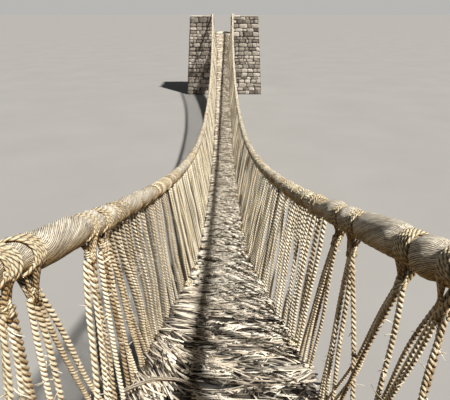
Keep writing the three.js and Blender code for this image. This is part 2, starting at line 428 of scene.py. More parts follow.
class Heap:
    """Faces of one piece, gathered part by part, with marks on each point.

    The fibres' pattern is squeezed by FIBRE along each part, and parts whose shades differ by
    one are APART in it. The two strands of a laid rope are STRAND_TONE paler and darker.
    """

    FIBRE = 0.07
    APART = 40
    STRAND_TONE = 0.08

    def __init__(self) -> None:
        """Starts empty."""
        self._points: list[Array] = []
        self._quads: list[Array] = []
        self._triangles: list[Array] = []
        self._tones: list[Array] = []
        self._depths: list[Array] = []
        self._grains: list[Array] = []
        self._quad_skins: list[Array] = []
        self._triangle_skins: list[Array] = []
        self._count = 0

    def add(self, points: Array, quads: Array, triangles: Array, tones: Array, depths: Array,
            skin: int = 0, grains: Array | None = None) -> None:
        """Adds faces.

        Args:
            points: one row for each point.
            quads: four point numbers in each row.
            triangles: three point numbers in each row.
            tones: random shade of the part that each point is on.
            depths: 0 in a crevice, 1 on a crest; low ones give painted shade.
            skin: number of the material that the faces have.
            grains: place of each point in the unrolled part, whose fibres run along Z.
        """
        flat = points.reshape(-1, 3)
        self._points.append(flat)
        self._quads.append(quads.reshape(-1, 4) + self._count)
        self._triangles.append(triangles.reshape(-1, 3) + self._count)
        self._tones.append(np.broadcast_to(tones, points.shape[:-1]).reshape(-1))
        self._depths.append(np.broadcast_to(depths, points.shape[:-1]).reshape(-1))
        self._grains.append((points if grains is None else grains).reshape(-1, 3))
        self._quad_skins.append(np.full(quads.size // 4, skin))
        self._triangle_skins.append(np.full(triangles.size // 3, skin))
        self._count += len(flat)

    def loft(self, rings: Array, tones: Array, depths: Array, skin: int = 0,
             grains: Array | None = None) -> None:
        """Adds closed bodies, each through a row of like rings.

        Args:
            rings: points, as (bodies, rings, corners, 3).
            tones: one shade for each body.
            depths: anything that spreads to (bodies, rings, corners).
            skin: number of the material that the faces have.
            grains: as for add.
        """
        bodies, rows, sides = rings.shape[:3]
        first = (np.arange(bodies) * rows * sides)[:, None, None]
        ring = (np.arange(rows - 1) * sides)[None, :, None]
        k = np.arange(sides)[None, None, :]
        a, b = first + ring + k, first + ring + (k + 1) % sides
        quads = np.stack([a, b, b + sides, a + sides], -1)
        fan = np.arange(1, sides - 1)
        start = np.stack([np.zeros_like(fan), fan + 1, fan], -1)
        finish = start[:, ::-1] + (rows - 1) * sides
        triangles = first + np.concatenate([start, finish])[None]
        shades = np.broadcast_to(np.asarray(tones, float).reshape(-1, 1, 1), rings.shape[:3])
        self.add(rings, quads, triangles, shades, depths, skin, grains)

    def sweep(self, paths: Array, radii: Array | float, section: Section, reference: Array,
              tones: Array, turns: Array | float = 0.0, skin: int = 0,
              depths: Array | None = None) -> None:
        """Adds closed tubes along a batch of paths.

        Args:
            paths: points, as (tubes, rings, 3).
            radii: radius, as one number, (tubes, rings) or (tubes, rings, corners).
            section: outline of each tube.
            reference: a direction that no path runs along.
            tones: one shade for each tube.
            turns: how far the section has turned at each ring, as (tubes, rings).
            skin: number of the material that the faces have.
            depths: 0 in a crevice, 1 on a crest; the section's own if left out.
        """
        sides = len(section.factors)
        across, up = square_to(paths, reference)
        corners = np.arange(sides) * TURN / sides
        angle = np.broadcast_to(turns, paths.shape[:2])[..., None] + corners
        if np.ndim(radii) < 3:
            radii = np.broadcast_to(radii, paths.shape[:2])[..., None]
        reach = radii * section.factors
        points = (paths[:, :, None] + (reach * np.cos(angle))[..., None] * across[:, :, None]
                  + (reach * np.sin(angle))[..., None] * up[:, :, None])
        steps = np.linalg.norm(np.diff(paths, axis=1), axis=2)
        run = np.concatenate([np.zeros((len(paths), 1)), np.cumsum(steps, 1)], 1)
        run = run * self.FIBRE + np.asarray(tones, float).reshape(-1, 1) * self.APART
        grains = xyz(reach * np.cos(corners), reach * np.sin(corners), run[..., None])
        self.loft(points, tones, section.depths if depths is None else depths, skin, grains)

    def laid(self, paths: Array, radii: Array, sides: int, reference: Array, tones: Array,
             turns: Array, shade: Array, gloom: Array) -> None:
        """Adds ropes, each of two strands laid round each other.

        Args:
            paths: middle lines, as (ropes, rings, 3).
            radii: radius of each rope, as (ropes, 1).
            sides: corners of a strand's section.
            reference: a direction that no rope runs along.
            tones: one shade for each rope.
            turns: how far the strands have turned at each ring, as (ropes, rings).
            shade: painted shade on each rope where it faces along the reference, from 0 to 1.
            gloom: painted shade all round it, from 0 to 1, on ropes that stand for shaded gaps.
        """
        section = Section.strand(sides)
        off_middle, strand_radius = 0.5, 0.53
        across, up = square_to(paths, reference)
        for start, shift in ((0.0, self.STRAND_TONE), (math.pi, -self.STRAND_TONE)):
            angle = (turns + start)[..., None]
            out = np.cos(angle) * across + np.sin(angle) * up
            corner = angle + np.arange(sides) * TURN / sides
            # painted shade: strands darken where they face along the reference, and all round by
            # gloom
            flank = np.abs(np.sin(angle) + np.sin(corner)) / 2
            depths = section.depths * (1 - shade[:, None, None] * flank ** 2)
            depths = depths * (1 - gloom[:, None, None])
            self.sweep(paths + off_middle * radii[..., None] * out, strand_radius * radii,
                       section, reference, tones + shift, turns + start, depths=depths)

    def build(self, name: str) -> Object:
        """Makes the smooth-shaded mesh object.

        Args:
            name: name of the piece.

        Returns:
            The object.
        """
        points = np.concatenate(self._points).astype(np.float32)
        quads = np.concatenate(self._quads).astype(np.int32)
        triangles = np.concatenate(self._triangles).astype(np.int32)
        mesh = bpy.data.meshes.new(name)
        mesh.vertices.add(len(points))
        mesh.vertices.foreach_set("co", points.ravel())
        mesh.loops.add(quads.size + triangles.size)
        mesh.loops.foreach_set("vertex_index", np.concatenate([quads.ravel(), triangles.ravel()]))
        mesh.polygons.add(len(quads) + len(triangles))
        starts = np.concatenate([
            np.arange(len(quads)) * 4, quads.size + np.arange(len(triangles)) * 3])
        mesh.polygons.foreach_set("loop_start", starts.astype(np.int32))
        skins = np.concatenate(self._quad_skins + self._triangle_skins).astype(np.int32)
        mesh.polygons.foreach_set("material_index", skins)
        mesh.update(calc_edges=True)
        for mark, parts in (("tone", self._tones), ("depth", self._depths)):
            values = np.concatenate(parts).astype(np.float32)
            mesh.attributes.new(mark, "FLOAT", "POINT").data.foreach_set("value", values)
        grains = np.concatenate(self._grains).astype(np.float32)
        mesh.attributes.new("grain", "FLOAT_VECTOR", "POINT").data.foreach_set(
            "vector", grains.ravel())
        mesh.shade_smooth()
        return linked(name, mesh)


def coils(centres: Array, along: Array, across: Array, radius: Array | float, turns: float,
          steps: int, pitch: Array | float, tilt: Array | float, start: Array | float) -> Array:
    """Paths of cord wound round a bar, the two ends tucked in.

    Args:
        centres: middle of each winding, as (windings, 3).
        along: direction of the bar at each winding.
        across: a direction square to it.
        radius: distance of the cord's middle from the bar's.
        turns: number of turns.
        steps: points on each path.
        pitch: how far a turn moves along the bar.
        tilt: how far a turn leans along the bar.
        start: angle at which each winding starts.

    Returns:
        Points, as (windings, steps, 3).
    """
    along, across = np.broadcast_to(along, centres.shape), np.broadcast_to(across, centres.shape)
    up = np.cross(across, along)
    t = np.linspace(0, 1, steps)[None, :]
    count = len(centres)
    radius, pitch, tilt, start = (
        np.broadcast_to(v, count)[:, None] for v in (radius, pitch, tilt, start))
    angle = start + t * turns * TURN
    tucked, depth = 0.3, 0.35
    tuck = 1 - depth * np.maximum(np.abs(2 * t - 1) * turns - turns + tucked, 0) / tucked
    run = pitch * (t - 0.5) * turns + tilt * np.cos(angle)
    return (centres[:, None] + run[..., None] * along[:, None]
            + (radius * tuck * np.cos(angle))[..., None] * across[:, None]
            + (radius * tuck * np.sin(angle))[..., None] * up[:, None])


# Finishes


class Graph:
    """Nodes of one procedural material."""

    def __init__(self, name: str) -> None:
        """Starts a material with a bare shader.

        Args:
            name: its name.
        """
        self.material = bpy.data.materials.new(name)
        self.material.use_nodes = True
        self.tree = self.material.node_tree
        self.tree.nodes.clear()
        self.shader = self.node("ShaderNodeBsdfPrincipled")
        output = self.node("ShaderNodeOutputMaterial")
        self.tree.links.new(self.shader.outputs[0], output.inputs[0])
        self.place = self.node("ShaderNodeTexCoord").outputs["Object"]

    def node(self, kind: str, feeds: dict | None = None, **settings: object) -> bpy.types.Node:
        """Adds a node.

        Args:
            kind: its type.
            feeds: what each input is linked to or set to.
            settings: its own properties.

        Returns:
            The node.
        """
        made = self.tree.nodes.new(kind)
        for key, value in settings.items():
            setattr(made, key, value)
        for key, value in (feeds or {}).items():
            if isinstance(value, Socket):
                self.tree.links.new(value, made.inputs[key])
            else:
                made.inputs[key].default_value = value
        return made

    def mark(self, name: str) -> Socket:
        """The number that a mesh keeps on its points under this name."""
        return self.node("ShaderNodeAttribute", attribute_name=name).outputs["Fac"]

    def math(self, operation: str, *values: object) -> Socket:
        """Result of one sum on numbers."""
        made = self.node("ShaderNodeMath", dict(enumerate(values)), operation=operation)
        return made.outputs[0]

    def vector(self, operation: str, *values: object) -> Socket:
        """Result of one sum on vectors."""
        made = self.node("ShaderNodeVectorMath", dict(enumerate(values)), operation=operation)
        return made.outputs[0]

    def scaled(self, vector: Socket, scale: float) -> Socket:
        """A vector times a number."""
        made = self.node("ShaderNodeVectorMath", {0: vector, "Scale": scale}, operation="SCALE")
        return made.outputs[0]

    def noise(self, vector: Socket, scale: float, detail: float = 2.0,
              rough: float = 0.5) -> Socket:
        """Noise at a scale in cycles for each metre."""
        feeds = {"Vector": vector, "Scale": scale, "Detail": detail, "Roughness": rough}
        return self.node("ShaderNodeTexNoise", feeds).outputs[0]

    def ramp(self, amount: Socket, stops: list[tuple[float, Colour]]) -> Socket:
        """Colours spread over an amount.

        Args:
            amount: what picks the colour.
            stops: place and colour of each stop.

        Returns:
            The colour.
        """
        made = self.node("ShaderNodeValToRGB", {0: amount})
        elements = made.color_ramp.elements
        while len(elements) < len(stops):
            elements.new(0.5)
        for element, (position, colour) in zip(elements, stops):
            element.position = position
            element.color = (*colour, 1.0)
        return made.outputs[0]

    def blend(self, amount: object, low: object, high: object, mode: str = "MIX") -> Socket:
        """Mixes two colours.

        Args:
            amount: share of the second one.
            low: first colour.
            high: second colour.
            mode: how they mix.

        Returns:
            The mixed colour.
        """
        feeds = {0: amount, 6: low, 7: high}
        feeds = {k: (*v, 1.0) if isinstance(v, tuple) else v for k, v in feeds.items()}
        return self.node("ShaderNodeMix", feeds, data_type="RGBA", blend_type=mode).outputs[2]

    def window(self, value: Socket, low: float, high: float,
               start: float = 0.0, end: float = 1.0) -> Socket:
        """A value mapped from one range to another, and held at the ends."""
        feeds = {0: value, 1: low, 2: high, 3: start, 4: end}
        return self.node("ShaderNodeMapRange", feeds).outputs[0]

    def weighed(self, shares: tuple) -> Socket:
        """Adds values up.

        Args:
            shares: pairs of a value and what it is multiplied by.

        Returns:
            The sum.
        """
        total = 0.0
        for value, share in shares:
            total = self.node("ShaderNodeMath", {0: value, 1: share, 2: total},
                              operation="MULTIPLY_ADD").outputs[0]
        return total

    def bumped(self, height: Socket, strength: float, distance: float) -> None:
        """Sends a height to the shader as bump.

        Args:
            height: the height.
            strength: how much of the bump shows.
            distance: how high a height of one stands.
        """
        feeds = {"Strength": strength, "Distance": distance, "Height": height}
        bump = self.node("ShaderNodeBump", feeds)
        self.tree.links.new(bump.outputs[0], self.shader.inputs["Normal"])

    def finish(self, colour: Socket, roughness: object, sheen: float = 0.0) -> Material:
        """Ends the material.

        Args:
            colour: base colour.
            roughness: a number, or the socket that gives it.
            sheen: weight of the soft glow of fibres.

        Returns:
            The material.
        """
        self.tree.links.new(colour, self.shader.inputs["Base Color"])
        if isinstance(roughness, Socket):
            self.tree.links.new(roughness, self.shader.inputs["Roughness"])
        else:
            self.shader.inputs["Roughness"].default_value = roughness
        self.shader.inputs["Specular IOR Level"].default_value = 0.25
        self.shader.inputs["Sheen Weight"].default_value = sheen
        return self.material


@dataclass(frozen=True)
class Shades:
    """Colours of a finish.

    Args:
        crevice: painted shade between strands, sticks and stones, and the colour of cracks.
        dark: of the darkest parts.
        middle: of most parts.
        pale: of the palest parts.
    """

    crevice: Colour
    dark: Colour
    middle: Colour
    pale: Colour

    def at(self, dark: float, middle: float, pale: float) -> list[tuple[float, Colour]]:
        """The stops of a ramp that has the last three colours at these places."""
        return [(dark, self.dark), (middle, self.middle), (pale, self.pale)]


@dataclass(frozen=True)
class Fibre:
    """Finish of rope and sticks, with fibres that run along each part.

    Args:
        name: name of the material.
        shades: its colours.
        fineness: fibres in each metre across.
        strands: strands drawn on a piece whose mesh is plain, with painted shade between them; 0
            draws none.
        lay: length of one turn of those strands.
        wobble: how unevenly they run.
        brown: colour that surfaces which face down or aside are multiplied by,
            partly as fibre that the sun has not paled, partly as painted shade.
        bleached: how far up a surface must face to keep its full colour.
        browned_and_shaded: how far down it must face to take that tint in full.
    """

    name: str
    shades: Shades
    fineness: float = 300.0
    strands: int = 0
    lay: float = 0.07
    wobble: float = 0.0
    brown: Colour = (0.86, 0.62, 0.34)
    bleached: float = 0.15
    browned_and_shaded: float = -0.45

    def material(self) -> Material:
        """Makes the material.

        Returns:
            The material, coloured by its noise and by the marks of the mesh, with painted shade
            in its crevices and on surfaces that face down.
        """
        g = Graph(self.name)
        grain = g.node("ShaderNodeAttribute", attribute_name="grain").outputs["Vector"]
        fibres = g.noise(grain, self.fineness, 3, 0.65)
        patches = g.noise(g.place, 11.0, 3)
        shares = ((g.mark("tone"), 0.40), (fibres, 0.75), (patches, 0.45))
        amount = g.math("SUBTRACT", g.weighed(shares), 0.30)
        colour = g.ramp(amount, self.shades.at(0.18, 0.46, 0.72))
        # painted shade, partly real: surfaces that face down or aside turn browner, as fibre the
        # sun has not paled and as shade
        facing = g.node("ShaderNodeNewGeometry").outputs["Normal"]
        up = g.node("ShaderNodeSeparateXYZ", {0: facing}).outputs[2]
        colour = g.blend(g.window(up, self.browned_and_shaded, self.bleached, 1.0, 0.0), colour,
                         self.brown, "MULTIPLY")
        depth = g.mark("depth")
        # painted shade: drawn strands lower the depth mark in the grooves between them
        if self.strands:
            x, y, z = g.node("ShaderNodeSeparateXYZ", {0: grain}).outputs
            phase = g.math("MULTIPLY", g.math("ARCTAN2", y, x), self.strands / 2)
            slide = g.math("MULTIPLY", z, math.pi * self.strands / (self.lay * Heap.FIBRE))
            slide = g.math("MULTIPLY_ADD", fibres, self.wobble, slide)
            drawn = g.math("ABSOLUTE", g.math("COSINE", g.math("ADD", phase, slide)))
            depth = g.math("MULTIPLY", depth, drawn)
        # painted shade: low depth marks take the crevice colour
        colour = g.blend(g.window(depth, 0.0, 0.7), self.shades.crevice, colour)
        height = g.weighed(((fibres, 1.0), (depth, float(self.strands > 0))))
        g.bumped(height, 0.8, 0.004)
        return g.finish(colour, g.window(fibres, 0.2, 0.8, 0.95, 0.75), 0.05)


@dataclass(frozen=True)
class Stone:
    """Finish of weathered stone: mottled, speckled, with lichen.

    Args:
        name: name of the material.
        shades: its colours.
        lichen: colour of the lichen.
        spread: share of the surface with lichen on it.
    """

    name: str
    shades: Shades
    lichen: Colour
    spread: float = 0.3

    def material(self) -> Material:
        """Makes the material.

        Returns:
            The material, with painted shade on the stones' sides and short dark cracks.
        """
        g = Graph(self.name)
        clouds = g.noise(g.place, 6.0, 4, 0.65)
        grit = g.noise(g.place, 90.0, 3, 0.7)
        amount = g.math("ADD", g.math("MULTIPLY", g.mark("tone"), 0.5),
                        g.math("MULTIPLY", clouds, 0.5))
        colour = g.ramp(amount, self.shades.at(0.25, 0.5, 0.8))
        colour = g.blend(0.55, colour, g.ramp(grit, [(0.35, (0.35,) * 3), (0.65, (0.95,) * 3)]),
                         "MULTIPLY")
        spots = g.noise(g.vector("ADD", g.place, (7.0, 3.0, 1.0)), 14.0, 5, 0.7)
        start = 0.68 - 0.3 * self.spread
        colour = g.blend(g.window(spots, start, start + 0.06, 0.0, 0.7), colour, self.lichen)
        # painted shade: low depth marks, on the stones' sides, take the crevice colour
        colour = g.blend(g.window(g.mark("depth"), 0.0, 0.6), self.shades.crevice, colour)
        warped = g.vector("ADD", g.place, g.scaled(g.node(
            "ShaderNodeTexNoise", {"Vector": g.place, "Scale": 9.0}).outputs[1], 0.10))
        cracks = g.node("ShaderNodeTexVoronoi", {"Vector": warped, "Scale": 7.0},
                        feature="DISTANCE_TO_EDGE").outputs[0]
        broken = g.math("MULTIPLY", g.window(cracks, 0.005, 0.04, 0.55, 0.0),
                        g.window(clouds, 0.50, 0.62))
        colour = g.blend(broken, colour, self.shades.crevice)
        height = g.math("ADD", g.math("MULTIPLY", clouds, 2.0), g.math("MULTIPLY", grit, 0.5))
        height = g.math("ADD", height, g.math("MULTIPLY", g.window(cracks, 0, 0.08), 0.25))
        g.bumped(height, 0.8, 0.02)
        return g.finish(colour, g.window(grit, 0.3, 0.7, 0.95, 0.8))


@dataclass(frozen=True)
class Ground:
    """Finish of the plain pale floor.

    Args:
        name: name of the material.
        low: its darker colour.
        high: its paler colour.
    """

    name: str = "pale_floor"
    low: Colour = (0.275, 0.27, 0.26)
    high: Colour = (0.295, 0.29, 0.28)

    def material(self) -> Material:
        """Makes the material.

        Returns:
            The material, with faint clouds.
        """
        g = Graph(self.name)
        clouds = g.noise(g.place, 0.35, 3)
        return g.finish(g.ramp(clouds, [(0.3, self.low), (0.7, self.high)]), 0.9)


class Finish(Enum):
    """Every finish of the bridge, and that of the floor below it."""

    RAIL = Fibre("rail_rope", Shades((0.016, 0.010, 0.005), (0.26, 0.19, 0.12),
                                     (0.74, 0.645, 0.50), (0.96, 0.89, 0.75)),
                 200.0, strands=58, lay=40.0, wobble=5.0, brown=(0.52, 0.36, 0.14), bleached=0.50)
    HITCH = Fibre("hitch_cord", Shades((0.014, 0.008, 0.003), (0.17, 0.11, 0.05),
                                       (0.46, 0.37, 0.23), (0.80, 0.72, 0.53)),
                  strands=2, lay=0.036, brown=(0.72, 0.48, 0.22), bleached=0.40)
    HANGER = Fibre("twisted_hanger", Shades((0.014, 0.007, 0.002), (0.22, 0.14, 0.06),
                                            (0.62, 0.53, 0.37), (0.92, 0.87, 0.73)))
    FAR_HANGER = Fibre("fine_hanger", Shades((0.012, 0.007, 0.003), (0.26, 0.19, 0.11),
                                             (0.76, 0.66, 0.46), (1.0, 0.95, 0.80)),
                       strands=2, lay=0.062)
    FLOOR_ROPE = Fibre("floor_rope", Shades((0.02, 0.013, 0.008), (0.16, 0.105, 0.055),
                                            (0.42, 0.33, 0.19), (0.66, 0.55, 0.36)), 180.0)
    STICK = Fibre("mat_sticks", Shades((0.009, 0.006, 0.005), (0.14, 0.10, 0.07),
                                       (0.70, 0.615, 0.49), (0.94, 0.88, 0.755)), 260.0)
    # painted shade: the brush seen between the sticks is very dark, darkest where its depth is low
    BRUSH = Fibre("packed_brush", Shades((0.008, 0.005, 0.003), (0.02, 0.013, 0.008),
                                         (0.24, 0.19, 0.135), (0.80, 0.71, 0.57)), 105.0)
    WOOD = Fibre("weathered_log", Shades((0.05, 0.035, 0.025), (0.14, 0.095, 0.065),
                                         (0.33, 0.25, 0.18), (0.52, 0.43, 0.33)), 60.0)
    RUBBLE = Stone("rubble_stone", Shades((0.006, 0.005, 0.004), (0.09, 0.072, 0.058),
                                          (0.33, 0.285, 0.24), (0.68, 0.615, 0.535)),
                   (0.48, 0.465, 0.34))
    # partly painted shade: the solid behind the rubble is dark earth fill, darkened further as
    # shade in the joints
    CORE = Stone("joint_fill", Shades((0.03, 0.026, 0.022), (0.04, 0.033, 0.027),
                                      (0.085, 0.07, 0.055), (0.15, 0.125, 0.10)),
                 (0.13, 0.13, 0.08), 0.1)
    SLAB = Stone("cap_slab", Shades((0.10, 0.09, 0.075), (0.34, 0.30, 0.25),
                                    (0.56, 0.51, 0.43), (0.72, 0.67, 0.58)),
                 (0.50, 0.49, 0.40), 0.25)
    FLOOR = Ground()

    @cached_property
    def material(self) -> Material:
        """Its material, which is made once."""
        return self.value.material()


def place(made: Object, finishes: list[Finish], slot: str, *nodes: str) -> None:
    """Finishes a piece and fixes it to the frame.

    Args:
        made: the piece.
        finishes: its finishes, in the order that its faces number them.
        slot: the record's slot that it belongs to; not used.
        nodes: the frame's nodes that it stands for.
    """
    for finish in finishes:
        made.data.materials.append(finish.material)
    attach(made, BODY)
    if nodes:
        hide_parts(*nodes)
    triangles = len(made.data.loops) - 2 * len(made.data.polygons)
    log.info("%s: %d triangles", made.name, triangles)


# Ropes


@dataclass
class Handrails:
    """The two thick handrail ropes, each from log to log.

    Args:
        anchor_half: distance from the middle of the bridge at which they go down to the logs.
        lead: how far back from the face they run straight on to there.
        edge: how far before the piers' back edge they start to bend.
        rounding: gap between the edge and the bent rope.
        ring: distance between the rope's rings.
        close_ring: the same distance next to the near end.
        close: distance from the near face up to which the rings are close.
        lay: length of one turn of the strands.
        fine_from: distance from the near face where the rope gets more and thinner cords.
        fine_to: distance where it has fewer again.
        scallop: length of one swelling beyond the last band.
        near_swell: how much the rope swells between two bands, as a share of its radius.
        far_swell: how much it swells further on.
    """

    anchor_half: float = 0.72
    lead: float = 2.35
    edge: float = 0.05
    rounding: float = 0.005
    ring: float = 0.042
    close_ring: float = 0.021
    close: float = 2.898
    lay: float = 0.95
    fine_from: float = -0.4
    fine_to: float = 8.4
    scallop: float = 0.34
    near_swell: float = 0.46
    far_swell: float = 0.24

    def plump(self, s: Array, pinches: Array) -> Array:
        """Finds how much the rope swells between the places where it is bound tight.

        Args:
            s: distances from the near face.
            pinches: distances of the bands next to the near end.

        Returns:
            Radius at each distance, as a share of the usual one.
        """
        nearest = np.abs(s[:, None] - pinches[None]).min(axis=1)
        bound, dent_at, dent_width = 0.045, 0.052, 0.022
        beside = np.exp(-((nearest - dent_at) / dent_width) ** 2)
        under = np.exp(-(nearest / bound) ** 4)
        near = self.near_swell * (0.5 * (1 - under) - 0.75 * beside)
        far = self.far_swell * 0.5 * np.sin(s * TURN / self.scallop + 0.7 * np.sin(2.3 * s))
        calm = rise(s, LINE.span, LINE.span - 3) * rise(s, -0.2, 0.2)
        return 1 + np.where(s < pinches.max() + 0.15, near, far) * calm

    def centreline(self, side: Side) -> Array:
        """Finds the rope's middle line.

        Args:
            side: which handrail.

        Returns:
            Points from the near log over both piers to the far log.
        """
        level = LINE.deck_level + LINE.rail_rise
        foot = round(ABUTMENT.log_level + 0.6 * ABUTMENT.log_radius, 3)
        bend = LINE.rail_radius + self.rounding
        angle = np.linspace(math.pi / 2, 0, 6)
        upwards = np.linspace(level - bend, foot, 26)[:0:-1]
        inwards = np.linspace(0, 1, 50)[1:-1]
        straight = np.linspace(ABUTMENT.pier - self.edge, self.lead, 6)[1:]
        tail = np.concatenate([
            xyz(self.anchor_half, ABUTMENT.pier + bend, upwards),
            xyz(self.anchor_half, ABUTMENT.pier + bend * np.sin(angle),
                level - bend * (1 - np.cos(angle))),
            xyz(self.anchor_half, straight, level),
            xyz(self.anchor_half + (LINE.rail_half_end - self.anchor_half) * inwards,
                self.lead * (1 - inwards), level)])
        near = tail * (side.value, -1, 1) - (0, LINE.span / 2, 0)
        run = LINE.rail_point(side, np.concatenate([
            np.arange(0, self.close - self.close_ring / 2, self.close_ring),
            np.arange(self.close, LINE.span + self.ring / 2, self.ring)]))
        return np.concatenate([near, run, near[::-1] * (1, -1, 1)])

    def build(self, side: Side, pinches: Array, rng: np.random.Generator) -> None:
        """Makes the rope with its turns on the two logs.

        Args:
            side: which handrail.
            pinches: distances of the bands next to the near end.
            rng: source of the small differences.
        """
        heap = Heap()
        path = self.centreline(side)
        steps = np.linalg.norm(np.diff(path, axis=0), axis=1)
        length = np.concatenate([[0], np.cumsum(steps)])
        phases = rng.uniform(0, TURN, 3)
        wander = sum(np.sin(length * f + p) for f, p in zip((2.1, 5.3, 9.7), phases))
        s = path[:, 1] + LINE.span / 2
        wander = wander * rise(np.abs(path[:, 1]), LINE.span / 2, LINE.span / 2 - 0.6)
        path = path + np.outer(wander, (0.0025, 0, 0.003))
        thick = LINE.rail_radius * (1.0 + 0.01 * wander) * self.plump(s, pinches)
        turns = -length * TURN / self.lay
        fine = (s > self.fine_from) & (s < self.fine_to)
        first, last = np.flatnonzero(fine)[[0, -1]]
        plain, corded = Section.corded(3, 9), Section.corded(3, 17)
        for cut, section in ((slice(0, first + 1), plain), (slice(first, last + 1), corded),
                             (slice(last, len(s)), plain)):
            uneven = rng.normal(0, 0.8, (len(s[cut]), len(section.factors)))
            for _ in range(2):
                uneven[1:-1] = (uneven[:-2] + uneven[2:]) * 0.5 + uneven[1:-1] * 0.2
            radii = thick[cut][:, None] * (1 + 0.012 * uneven)
            depths = np.clip(section.depths + 0.12 * uneven, 0, 1)
            heap.sweep(path[cut][None], radii[None], section, X_AXIS, [0.6], turns[cut][None],
                       depths=depths[None])
        for end in End:
            log_turns(heap, end, side.value * self.anchor_half)
        place(heap.build(f"rail_rope_{side.word}"), [Finish.RAIL], "cable_rope",
              f"handrail_{side.word}")


def log_turns(heap: Heap, end: End, x: float) -> None:
    """Adds a rope's turns on an anchor log.

    Args:
        heap: the piece that they belong to.
        end: which log.
        x: middle of the turns, along the log.
    """
    turns, radius, pitch, twist, steps = 1.9, 0.045, 0.085, 30, 40
    wound = coils(ABUTMENT.log_point(end, x)[None], X_AXIS, Y_AXIS, ABUTMENT.log_radius + radius,
                  turns, steps, pitch, 0.0, 1.0)
    heap.sweep(wound, radius, Section.strands(3, 3), X_AXIS, [0.5],
               np.linspace(0, twist, steps)[None])


@dataclass
class FloorRope:
    """One of the four thick ropes under the mat.

    Args:
        lane: which of the lanes it lies in.
        overrun: how far it runs on behind each face.
        ring: distance between its rings.
        lay: length of one turn of its strands.
    """

    lane: int
    overrun: float = 2.74
    ring: float = 0.07
    lay: float = 0.46

    def build(self, number: int) -> None:
        """Makes the rope with its turns on the two logs.

        Args:
            number: number of the rope, from left to right.
        """
        heap = Heap()
        s = np.arange(-self.overrun, LINE.span + self.overrun, self.ring)
        path = LINE.cable_point(self.lane, s)
        heap.sweep(path[None], LINE.floor_radius, Section.strands(3, 3, 0.7), X_AXIS, [0.5],
                   (s * TURN / self.lay)[None])
        for end, face in ((End.NEAR, 0.0), (End.FAR, LINE.span)):
            log_turns(heap, end, LINE.cable_point(self.lane, face)[0])
        place(heap.build(f"floor_rope_{number}"), [Finish.FLOOR_ROPE], "cable_rope",
              f"floor_cable_{number}")


@dataclass(frozen=True)
class Group:
    """Hangers gathered at one band round the handrail, next to the near end.

    Args:
        at: distance of the band from the near face.
        feet: distance of each hanger's foot.
        radius: radius of a hanger.
    """

    at: float
    feet: tuple[float, ...]
    radius: float = 0.0105


@dataclass(frozen=True)
class Grade:
    """How finely a stretch of hangers is made.

    Args:
        end: distance from the near face where the stretch ends.
        sides: corners of a strand; a hanger of one plain piece has four.
        rings: rings for each turn of the strands; 0 makes hangers of one plain piece.
        hitch: corners of the cord round the handrail, its turns, and points on each turn.
        shaded_share: share of hangers painted dark all over, as painted shade of the gaps between
            them.
    """

    end: float
    sides: int
    rings: int
    hitch: tuple[int, int, int]
    shaded_share: float


